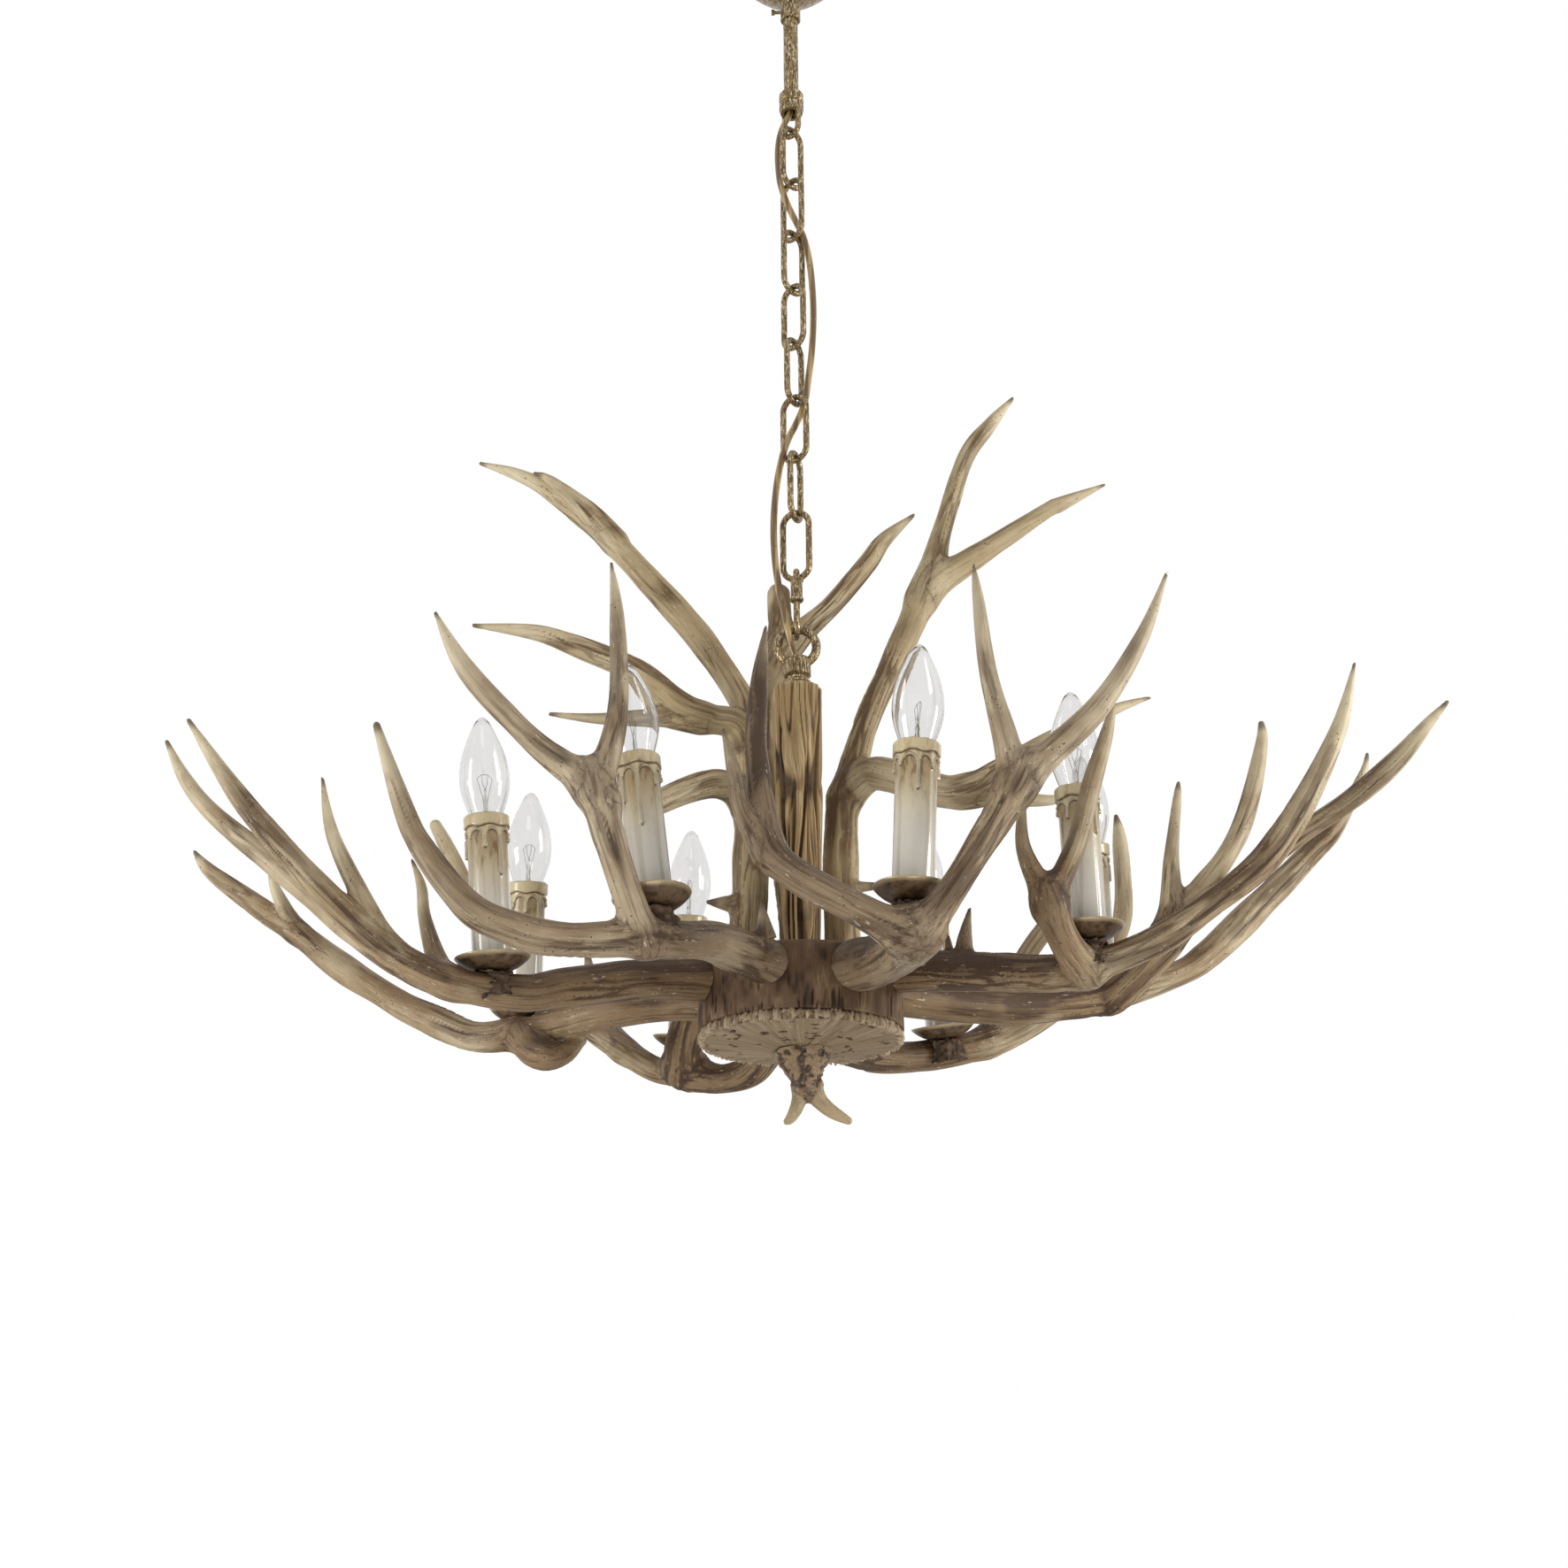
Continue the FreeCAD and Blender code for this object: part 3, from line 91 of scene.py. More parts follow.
# --------------------------------------------------------------------------------------- centre lines
# The limbs' circles in millimetres, as in the part's source: out, across, up and radius. A side
# antler's are measured from the drum's wall at its mid height, a crown antler's from the drum's top.
SIDE_ANTLERS = {
    "antler_front_left": {
        "heading": -22.5,
        "limbs": {
            "beam": [(-12, 4, 10, 17.5), (77, -1, 3, 13.5), (126, -5, -9, 12.5), (154, -19, -14, 12),
                     (181, -54, -18, 11), (200, -83, -12, 11), (212, -107, 2, 10), (220, -137, 41, 8),
                     (222, -152, 69, 7), (223, -177, 132, 2.5)],
            "crown": [(152, -14, -15, 10.5), (176, -20, 24, 9.5), (186, -34, 76, 11.5),
                      (187, -37, 90, 9.5)],
            "brow_tine": [(186, -34, 77, 10), (175, -25, 133, 7), (169, -30, 204, 5),
                          (168, -36, 248, 1)],
            "side_tine": [(184, -29, 70, 10), (191, -43, 86, 10), (208, -73, 114, 8),
                          (229, -107, 157, 6.5), (241, -126, 197, 1)],
            "thorn": [(27, 16, 17, 7.5), (32, 15, 42, 1)],
        },
    },
    "antler_front_right": {
        "heading": 22.5,
        "limbs": {
            "beam": [(-12, 11, 10, 18), (31, 7, 1, 17.5), (81, -2, -9, 16.5), (128, -12, -15, 16),
                     (153, -19, -15, 14.5)],
            "right_beam": [(148, -21, -17, 14), (168, -15, -9, 11.5), (179, -3, 9, 9.5),
                           (190, 24, 55, 11), (194, 35, 75, 12.5), (195, 41, 89, 10)],
            "brow_tine": [(194, 34, 73, 10), (192, 32, 102, 8.5), (184, 25, 156, 6),
                          (179, 23, 209, 4), (176, 22, 238, 1)],
            "side_tine": [(192, 31, 68, 9.5), (199, 46, 87, 10), (218, 84, 127, 7.5),
                          (232, 112, 175, 5), (241, 130, 222, 1)],
            "left_beam": [(158, -17, -15, 12), (156, -33, -14, 12), (151, -50, -6, 11),
                          (127, -89, 23, 10.5), (115, -102, 47, 10.5), (101, -104, 107, 8),
                          (93, -101, 141, 7), (88, -96, 177, 5.5), (83, -90, 214, 1)],
            "fork_tine": [(117, -103, 36, 9), (113, -119, 66, 6), (113, -124, 90, 5),
                          (112, -132, 122, 1)],
        },
    },
    "antler_left_front": {
        "heading": -67.5,
        "limbs": {
            "beam": [(-12, -3, 10, 15), (47, 9, 1, 14.5), (107, 20, -13, 14), (139, 23, -21, 12.5),
                     (188, 23, -18, 10.5), (236, 20, 4, 9.5), (289, 16, 49, 8.5), (334, 9, 98, 7),
                     (372, 1, 152, 1.5)],
            "second_beam": [(184, 18, -19, 9), (208, 5, -10, 9), (248, -19, 23, 9),
                            (277, -37, 53, 9), (300, -51, 75, 8.5), (341, -75, 114, 6.5),
                            (362, -87, 142, 5), (377, -95, 172, 1.5)],
            "inner_tine": [(230, 21, 0, 7.5), (252, 19, 37, 6.5), (273, 16, 79, 4.5),
                           (282, 14, 118, 1)],
            "back_tine": [(190, 20, -17, 9), (196, 7, 3, 7), (202, -8, 35, 4.5),
                          (204, -15, 59, 3.5), (210, -23, 80, 1)],
        },
    },
    "antler_left_back": {
        "heading": -112.5,
        "limbs": {
            "beam": [(-12, 4, 2, 12), (24, 2, 7, 12), (79, 3, 8, 13.5), (118, -1, 5, 14),
                     (157, -2, 1, 13.5), (194, 1, 0, 11.5), (223, 7, 12, 11.5), (255, 12, 28, 11),
                     (281, 21, 45, 11), (309, 31, 65, 11), (337, 43, 88, 10), (364, 55, 108, 9.5),
                     (404, 75, 140, 6), (417, 83, 157, 1.5)],
            "hook": [(156, -2, 3, 12), (145, 5, -13, 13.5), (129, 9, -22, 12.5),
                     (116, 4, -20, 8.5), (106, -3, -11, 4)],
            "back_tine": [(340, 44, 91, 8), (349, 63, 121, 4.5), (351, 70, 138, 2)],
        },
    },
    "antler_back_left": {
        "heading": -157.5,
        "limbs": {
            "beam": [(-12, -5, -3, 14.5), (32, -18, -10, 13.5), (61, -16, -20, 12),
                     (96, -5, -21, 11.5), (119, 8, -14, 13.5), (135, 18, -5, 15),
                     (150, 31, -5, 11), (170, 55, 14, 10), (191, 80, 38, 10),
                     (202, 112, 65, 9.5), (208, 142, 92, 9.5), (210, 169, 123, 9),
                     (210, 199, 179, 7), (211, 213, 204, 5)],
            "knuckle": [(127, 18, -7, 15.5), (106, 26, 8, 14), (93, 25, 32, 10.5),
                        (86, 22, 64, 3)],
            "back_tine": [(170, 55, 14, 9.5), (193, 64, 44, 8), (204, 73, 78, 6),
                          (209, 77, 104, 2.5)],
        },
    },
    "antler_back_right": {
        "heading": 157.5,
        "limbs": {
            "beam": [(-12, 4, -3, 14.5), (35, 10, -9, 13), (85, 5, -6, 12), (132, -13, 2, 13),
                     (158, -32, 9, 13.5), (182, -66, 20, 11.5), (193, -93, 33, 10.5),
                     (200, -127, 54, 9.5), (202, -154, 77, 9), (198, -173, 101, 7.5),
                     (192, -182, 129, 7.5), (181, -185, 179, 6), (178, -184, 200, 2)],
            "back_tine": [(179, -59, 20, 11), (191, -77, 53, 9.5), (198, -95, 95, 8.5),
                          (206, -130, 144, 7), (210, -156, 193, 1.5)],
        },
    },
    "antler_right_front": {
        "heading": 67.5,
        "limbs": {
            "beam": [(-12, 3, 15, 15.5), (26, -6, 9, 14.5), (94, -19, -4, 13), (127, -26, -9, 12.5),
                     (159, -30, -6, 10.5), (190, -30, 3, 10), (214, -29, 15, 9.5),
                     (251, -25, 39, 9.5), (276, -21, 61, 10), (301, -18, 97, 8.5),
                     (326, -14, 144, 5.5), (340, -12, 188, 1)],
            "crown": [(145, -28, -10, 11.5), (140, -57, 0, 11), (136, -73, 16, 11),
                      (134, -79, 31, 10.5)],
            "inner_tine": [(136, -76, 23, 9.5), (121, -86, 64, 5), (124, -81, 119, 1)],
            "outer_tine": [(133, -77, 23, 9.5), (154, -75, 63, 7), (167, -72, 106, 6.5),
                           (179, -69, 142, 4.5), (186, -69, 167, 1)],
            "thorn": [(53, -10, 9, 8), (55, -13, 26, 5.5), (60, -14, 49, 1)],
            "small_thorn": [(42, -6, 14, 5), (41, -8, 32, 1.5)],
        },
    },
    "antler_right_back": {
        "heading": 112.5,
        "limbs": {
            "beam": [(-12, -5, 10, 13), (29, 0, 9, 13.5), (108, 7, 14, 14), (147, 8, 20, 13.5),
                     (182, 6, 28, 13), (243, -4, 49, 10), (270, -11, 66, 11), (298, -20, 93, 12),
                     (354, -46, 151, 9.5), (374, -58, 174, 7), (394, -73, 216, 3.5),
                     (398, -77, 233, 1.5)],
            "crown": [(187, 0, 28, 12.5), (207, -24, 52, 13.5), (222, -36, 77, 11.5),
                      (225, -41, 133, 6), (232, -45, 182, 3.5), (234, -46, 196, 1.5)],
            "outer_tine": [(219, -33, 71, 11), (246, -49, 109, 9), (261, -58, 130, 8),
                           (275, -63, 154, 8), (284, -71, 183, 7.5), (293, -79, 226, 5),
                           (294, -80, 243, 2.5)],
            "second_beam": [(210, -25, 55, 11), (236, -51, 84, 9.5), (263, -74, 109, 9),
                            (294, -118, 138, 8), (317, -154, 157, 8), (338, -184, 181, 7.5),
                            (352, -204, 203, 4.5), (363, -216, 218, 1.5)],
        },
    },
}
TOP_ANTLERS = {
    "crown_antler_left": {
        "heading": -120,
        "limbs": {
            "beam": [(45, 3, -6, 14), (44, 0, 46, 13.5), (45, -4, 73, 13), (49, -11, 133, 12.5),
                     (52, -14, 163, 12), (59, -19, 219, 11.5), (69, -19, 246, 11),
                     (100, -14, 298, 11.5), (148, -4, 361, 11), (176, 5, 398, 10.5),
                     (206, 16, 432, 11), (234, 28, 455, 7), (257, 38, 469, 5),
                     (283, 50, 480, 1.5)],
            "back_tine": [(173, 3, 396, 9), (191, 21, 423, 8), (212, 44, 446, 4),
                          (221, 54, 450, 1.5)],
            "side_beam": [(53, -17, 187, 11), (60, -5, 207, 12), (74, 12, 210, 11.5),
                          (89, 33, 216, 13.5), (113, 60, 242, 10), (152, 95, 261, 8),
                          (173, 112, 268, 6), (208, 139, 271, 1.5)],
            "side_tine": [(78, 18, 208, 10.5), (94, 38, 206, 8.5), (130, 75, 199, 4.5),
                          (160, 101, 200, 1.5)],
            "low_beam": [(50, -12, 137, 11), (55, 9, 149, 11), (66, 31, 146, 11),
                         (88, 69, 120, 8), (100, 88, 90, 1.5)],
            "thorn": [(45, 0, 56, 8), (55, 13, 55, 6), (64, 26, 54, 1.5)],
        },
    },
    "crown_antler_right": {
        "heading": 120,
        "limbs": {
            "beam": [(38, 1, -6, 14), (38, 3, 46, 13.5), (40, 7, 72, 13.5), (46, 13, 132, 13),
                     (54, 13, 163, 12.5), (71, 12, 215, 10.5), (100, 9, 279, 11),
                     (114, 8, 312, 11.5), (132, 4, 359, 11.5), (143, 2, 398, 8),
                     (164, -6, 468, 7.5), (185, -15, 503, 6), (203, -25, 529, 1.5)],
            "fork_tine": [(123, 6, 331, 11), (135, -2, 347, 11.5), (158, -19, 366, 10),
                          (204, -58, 403, 6.5), (216, -67, 410, 6), (245, -89, 425, 1)],
            "side_beam": [(51, 12, 147, 11.5), (61, -4, 161, 12.5), (70, -22, 156, 13),
                          (95, -59, 135, 13), (109, -79, 135, 12.5), (122, -92, 146, 9.5),
                          (141, -105, 162, 7), (162, -117, 175, 6.5), (201, -135, 197, 4),
                          (227, -145, 208, 1)],
            "side_tine": [(103, -71, 133, 10), (120, -90, 126, 7.5), (151, -110, 122, 4),
                          (180, -123, 130, 1)],
            "thorn": [(40, 5, 69, 6), (58, -18, 67, 2.5)],
        },
    },
    "crown_antler_back": {
        "heading": 180,
        "limbs": {
            "beam": [(36, 4, -6, 12), (40, 4, 49, 12), (46, 8, 86, 12), (54, 14, 125, 11.5),
                     (63, 21, 166, 12), (70, 27, 199, 11.5), (78, 23, 260, 11.5),
                     (78, -1, 302, 11.5), (74, -29, 329, 8.5), (71, -59, 366, 8.5),
                     (70, -74, 388, 6.5), (70, -99, 411, 1.5)],
            "blunt_tine": [(79, 18, 279, 11), (81, 14, 301, 10.5), (83, 14, 345, 9)],
        },
    },
}
CANDLES = [
    ("antler_left_front", (158, 19, -15), (6, 3)),
    ("antler_left_back", (162, -11, 3), (-5, 9)),
    ("antler_front_left", (136, -15, 2), (-1, -8)),
    ("antler_back_left", (147, 11, 6), (-10, 2)),
    ("antler_front_right", (141, -14, 0), (1, 3)),
    ("antler_back_right", (147, -37, 10), (-12, 2)),
    ("antler_right_front", (147, -29, 2), (0, -2)),
    ("antler_right_back", (187, 16, 36), (-6, -9)),
]
FINIAL_LIMBS = {
    "stub": [(1.5, 0, 0, 20.5), (2, 0, -7, 18.5), (2.5, 0, -13, 14.5), (3, 0, -19, 11), (4, 0, -27, 9.8)],
    "left_tip": [(2, 0, -22, 8), (0, 0, -30, 6.2), (-2, -1, -36, 4.6), (-4.5, -2, -43, 3.9),
                 (-8, -2, -49, 3), (-10.5, -2, -51.5, 2)],
    "right_tip": [(6.5, 0, -22, 8), (9, 0, -30, 6.4), (13, 1, -36.5, 5), (20, 2, -42.8, 4.2),
                  (27, 3, -47, 3.3), (33, 3, -50.3, 2)],
}
FINIAL_SKIN = 0.8        # mm of horn over the finial's solid
# The feed cord's route, as in the part's source: across, back and down from the coupling, in mm.
CORD_ROUTE = [
    (0, 0, 0), (0, 0, 15), (-8, 0, 31), (-12, 2, 48), (-12, 3, 70), (-10, 0, 94), (-1, 1, 120),
    (10, 1, 144), (15, 2, 174), (17, 2, 215), (15, 3, 257), (11, 3, 286), (9, 2, 304), (3, 1, 322),
    (-8, -2, 346), (-15, -2, 380), (-18, -3, 418), (-17, -4, 452), (-13, -6, 484), (-8, -9, 506),
    (-6, -5, 522), (0, 0, 536), (0, 0, 555.5),
]
CORD_TOP = -0.1485
CORD_DIAMETER = 0.0055
CORD_SIDES = 18
# The joints that the cord passes on its way down.
CORD_JOINTS = ["link_{}_swing".format(number) for number in range(1, 9)]
CORD_JOINTS += ["quick_link_swing", "fixture_swing"]

# ------------------------------------------------------------------------------------ sizes in metres
WELD = 0.000001          # points closer than this are one point
CAD_WELD = 0.00001       # the same on a copy of a CAD mesh
ROUNDING = 1e-7
HAIR = 0.0001            # the least air between a piece and its neighbour
CORE_RADIUS = 0.0052     # the hole for the centre rod in the drum and the plate
# Antler relief: cells of the grooves across, across and along a limb, their depth and the swellings.
COARSE_GROOVE = (0.0088, 0.0088, 0.11)
MEDIUM_GROOVE = (0.0042, 0.0042, 0.060)
FINE_GROOVE = (0.0016, 0.0016, 0.020)
GROOVE_WANDER = 0.004
GROOVE_DEPTH = 0.0011
FINE_DEPTH = 0.0003
SWELLING = 0.0024
# The skin is drawn to the limbs' surface in passes, each by this share of the way and this far at most.
DRAWN_SHARES = (1.0, 1.0, 0.8)
DRAWN_AT_MOST = 0.004
FORK_REACH = 0.0035      # how far round a fork the limbs share their grooves
# A candle sleeve, upwards from its antler, and its wax, downwards from the sleeve's top.
SLEEVE_FOOT = 0.0104
SLEEVE_TOP = 0.1170
SLEEVE_RADIUS = 0.0138
SLEEVE_BORE = 0.0127
SLEEVE_SEGMENTS = 176
COLLAR_RADIUS = 0.0158
COLLAR_HEIGHT = 0.0090
ARCH_TOP = COLLAR_HEIGHT + 0.0034
ARCH_FOOT = COLLAR_HEIGHT + 0.0092
DRIP_LENGTHS = [0.001, 0.003, 0.002, 0.007, 0.012, 0.018, 0.026, 0.036]
DRIPPED = 0.064          # the part of the sleeve that drips can reach, which has the finer rows
WAX_PROUD = 0.0019       # the thickest wax
# Turned pieces in millimetres: (radius, height) along their outline. The dish sits on the antler, and
# the bulb's pieces are measured from the sleeve's top.
DISH_OUTLINE = [(4.0, 8.0), (8.5, 8.0), (10.5, 8.05), (13.5, 8.75), (17.0, 10.2), (20.5, 12.4),
                (23.5, 14.9), (25.6, 17.0), (26.0, 17.6), (25.8, 18.2), (25.2, 18.3), (24.6, 18.0),
                (22.8, 16.3), (19.8, 13.8), (16.6, 11.6), (14.4, 10.42), (12.0, 10.4), (4.0, 10.4)]
# The band round the dish's rim, in metres, where a highlight is painted.
DISH_HIGHLIGHT_BAND = (0.0244, 0.0256)
BULB_OUTLINE = [(7.2, -12), (8.6, -9), (10.0, -5), (11.3, -1), (12.4, 3), (14.0, 8), (15.6, 13),
                (16.8, 18), (17.4, 23), (17.4, 28), (17.0, 34), (16.0, 40), (14.4, 46), (12.3, 52),
                (9.8, 58), (7.7, 63), (5.6, 67), (3.9, 69.6), (2.6, 71.0), (1.4, 71.8), (0, 72.0)]
BULB_WALL = 0.7
BULB_TIP = 68            # above this height the inner wall is lowered too
MOUNT_OUTLINE = [(0, -10), (4.2, -10), (3.4, -6), (2.2, 0), (1.7, 5), (1.5, 9), (1.8, 11), (1.2, 13),
                 (0.8, 16), (0.9, 19), (0, 19.8)]
FILAMENT_RUNS = [[(-1.2, 0, 6), (-2.0, 0, 14), (-5.4, 0, 27)], [(1.2, 0, 6), (2.0, 0, 14), (5.4, 0, 27)],
                 [(0, 0, 19), (-1.8, 0.5, 24), (-2.2, 0.6, 30)], [(0, 0, 19), (1.8, 0.5, 24), (2.2, 0.6, 30)],
                 [(-5.4, 0, 27), (-2.2, 0.6, 30), (2.2, 0.6, 30), (5.4, 0, 27)]]
WIRE_RADIUS = 0.00016
# The camera of the photograph, from the foot of the drum: its place, its tilts in degrees and its lens.
CAMERA_ACROSS, CAMERA_BACK, CAMERA_BELOW = -0.011, -1.437, 0.361
CAMERA_PITCH, CAMERA_ROLL = 90 + 21.09, -0.45
CAMERA_LENS = 46.73
FLOOR_BELOW, FLOOR_SIZE = 2.0, 60
LAMP_COLOUR = (1.0, 0.975, 0.93)
SKY_COLOUR = (1.0, 0.965, 0.91, 1)


# --------------------------------------------------------------------------------------------- helpers
def srgb(red, green, blue, alpha=1.0):
    """A colour given on the 0-255 scale, as linear light."""
    def linear(value):
        value /= 255
        return value / 12.92 if value <= 0.04045 else ((value + 0.055) / 1.055) ** 2.4
    return (linear(red), linear(green), linear(blue), alpha)


def darker(colour, share):
    return tuple(share * channel for channel in colour[:3]) + (1,)


def look():
    return bpy.context.scene.chandelier_look


def new_piece(name, mesh):
    """A piece at the origin, alone selected."""
    mesh.name = name
    piece = bpy.data.objects.new(name, mesh)
    bpy.context.scene.collection.objects.link(piece)
    bpy.ops.object.select_all(action="DESELECT")
    piece.select_set(True)
    bpy.context.view_layer.objects.active = piece
    return piece


def dress(piece, material, body, node=None):
    """Gives a piece its material and the body it rides, and hides the CAD node it stands for."""
    piece.data.materials.append(material)
    if node:
        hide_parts(node)
    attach(piece, body)


def turned(name, outline, segments):
    """A closed body, turned about Z from an outline of (radius, height) in metres that may touch Z."""
    mesh = bpy.data.meshes.new(name)
    pairs = [(number, (number + 1) % len(outline)) for number in range(len(outline))]
    edges = [pair for pair in pairs if any(outline[number][0] for number in pair)]
    mesh.from_pydata([(radius, 0, height) for radius, height in outline], edges, [])
    piece = new_piece(name, mesh)
    lathe = piece.modifiers.new("lathe", "SCREW")
    lathe.steps = lathe.render_steps = segments
    lathe.use_smooth_shade = True
    bpy.ops.object.modifier_apply(modifier=lathe.name)
    bpy.ops.object.mode_set(mode="EDIT")
    bpy.ops.mesh.select_all(action="SELECT")
    bpy.ops.mesh.remove_doubles(threshold=WELD)
    bpy.ops.mesh.normals_make_consistent(inside=False)
    bpy.ops.object.mode_set(mode="OBJECT")
    return piece


def skinned_copy(name, node, voxel):
    """A copy of a CAD node's mesh under one even skin of cells."""
    piece = new_piece(name, frame["nodes"][node].data.copy())
    piece.data.materials.clear()
    bpy.ops.object.mode_set(mode="EDIT")
    bpy.ops.mesh.select_all(action="SELECT")
    bpy.ops.mesh.remove_doubles(threshold=CAD_WELD)
    bpy.ops.object.mode_set(mode="OBJECT")
    skin = piece.modifiers.new("skin", "REMESH")
    skin.mode = "VOXEL"
    skin.voxel_size = voxel
    skin.use_smooth_shade = True
    bpy.ops.object.modifier_apply(modifier=skin.name)
    return piece


def read_vectors(mesh, name):
    """A mesh's points or normals, by the name co or normal."""
    flat = np.empty(len(mesh.vertices) * 3)
    mesh.vertices.foreach_get(name, flat)
    return flat.reshape(-1, 3)


def write_points(mesh, points):
    mesh.vertices.foreach_set("co", np.ascontiguousarray(points, dtype=np.float32).ravel())
    mesh.update()


def write_number(mesh, name, values):
    mesh.attributes.new(name, "FLOAT", "POINT").data.foreach_set("value", np.asarray(values, np.float32))


def write_vector(mesh, name, values):
    layer = mesh.attributes.new(name, "FLOAT_VECTOR", "POINT")
    layer.data.foreach_set("vector", np.asarray(values, np.float32).ravel())


def smooth_step(values, low, high):
    share = np.clip((values - low) / (high - low), 0, 1)
    return share * share * (3 - 2 * share)


def bell(values, width):
    return np.exp(-(values / width) ** 2)


LATTICE = np.random.default_rng(7).random(1 << 16)


def noise(points, seed=0):
    """Smooth value noise from 0 to 1, one cell to a unit."""
    cell = np.floor(points).astype(np.int64)
    share = points - cell
    share = share * share * (3 - 2 * share)
    total = np.zeros(len(points))
    for corner in range(8):
        step = np.array([corner & 1, corner >> 1 & 1, corner >> 2 & 1])
        at = cell + step
        index = (at[:, 0] * 73856093 ^ at[:, 1] * 19349663 ^ at[:, 2] * 83492791 ^ seed * 2654435) & 0xFFFF
        weight = np.prod(np.where(step, share, 1 - share), axis=1)
        total += weight * LATTICE[index]
    return total


def ridges(points, seed=0):
    """Sharp creases from 0 at a crease to 1 between creases."""
    return np.abs(2 * noise(points, seed) - 1)


def polar(points):
    """Each point's angle about Z, its unit direction out of Z and its distance from Z."""
    angle = np.arctan2(points[:, 1], points[:, 0])
    return angle, np.stack([np.cos(angle), np.sin(angle)], 1), np.hypot(points[:, 0], points[:, 1])


def wrapped(circle, cells, along, cell_length):
    """Coordinates for noise that closes round a turned piece."""
    return np.column_stack([circle * cells, along / cell_length])


# --------------------------------------------------------------------------------------------- shaders
class Value:
    """A socket that can be used in ordinary arithmetic."""

    def __init__(self, shading, socket):
        self.shading = shading
        self.socket = socket

    def math(self, operation, *values):
        return self.shading.node("ShaderNodeMath", {"operation": operation}, *values)

    def __add__(self, other):
        return self.math("ADD", self, other)

    def __radd__(self, other):
        return self.math("ADD", other, self)

    def __sub__(self, other):
        return self.math("SUBTRACT", self, other)

    def __rsub__(self, other):
        return self.math("SUBTRACT", other, self)

    def __mul__(self, other):
        return self.math("MULTIPLY", self, other)

    def __rmul__(self, other):
        return self.math("MULTIPLY", other, self)

    def __truediv__(self, other):
        return self.math("DIVIDE", self, other)

    def __pow__(self, other):
        return self.math("POWER", self, other)

    def clamped(self):
        return self.shading.node("ShaderNodeClamp", {}, self)

    def ramp(self, low, high):
        """0 below low, 1 above high and smooth between."""
        settings = {"interpolation_type": "SMOOTHSTEP"}
        return self.shading.node("ShaderNodeMapRange", settings, self, low, high, 0.0, 1.0)


class Shading:
    """The tools to write a node tree."""

    def __init__(self, tree):
        self.nodes = tree.nodes
        self.links = tree.links

    def node(self, kind, settings, *values, out=0, **named):
        made = self.nodes.new(kind)
        for key, setting in settings.items():
            setattr(made, key, setting)
        for socket, value in zip(made.inputs, values):
            self.feed(socket, value)
        for key, value in named.items():
            self.feed(made.inputs[key.replace("_", " ")], value)
        return Value(self, made.outputs[out])

    def feed(self, socket, value):
        if isinstance(value, Value):
            self.links.new(value.socket, socket)
        elif value is not None:
            socket.default_value = value


class Finish(Shading):
    """One node material."""

    def __init__(self, name):
        self.material = bpy.data.materials.new(name)
        self.material.use_nodes = True
        super().__init__(self.material.node_tree)
        self.shader = self.nodes["Principled BSDF"]

    def attribute(self, name, out="Fac"):
        return self.node("ShaderNodeAttribute", {"attribute_name": name}, out=out)

    def place(self):
        return self.node("ShaderNodeTexCoord", {}, out="Object")

    def part(self, vector, axis):
        return self.node("ShaderNodeSeparateXYZ", {}, vector, out=axis)

    def stretched(self, vector, x, y, z):
        return self.node("ShaderNodeVectorMath", {"operation": "MULTIPLY"}, vector, (x, y, z))

    def cloud(self, vector, scale, detail=3.0, roughness=0.5):
        return self.node("ShaderNodeTexNoise", {}, Vector=vector, Scale=scale, Detail=detail,
                         Roughness=roughness)

    def blend(self, share, first, second):
        """The Mix node's colours, which come after its five sockets for numbers and vectors."""
        return self.node("ShaderNodeMix", {"data_type": "RGBA"}, share, *[None] * 5, first, second, out=2)

    def bump(self, height, distance):
        return self.node("ShaderNodeBump", {}, Distance=distance, Height=height)

    def set(self, **sockets):
        for key, value in sockets.items():
            self.feed(self.shader.inputs[key.replace("_", " ")], value)
        return self.material


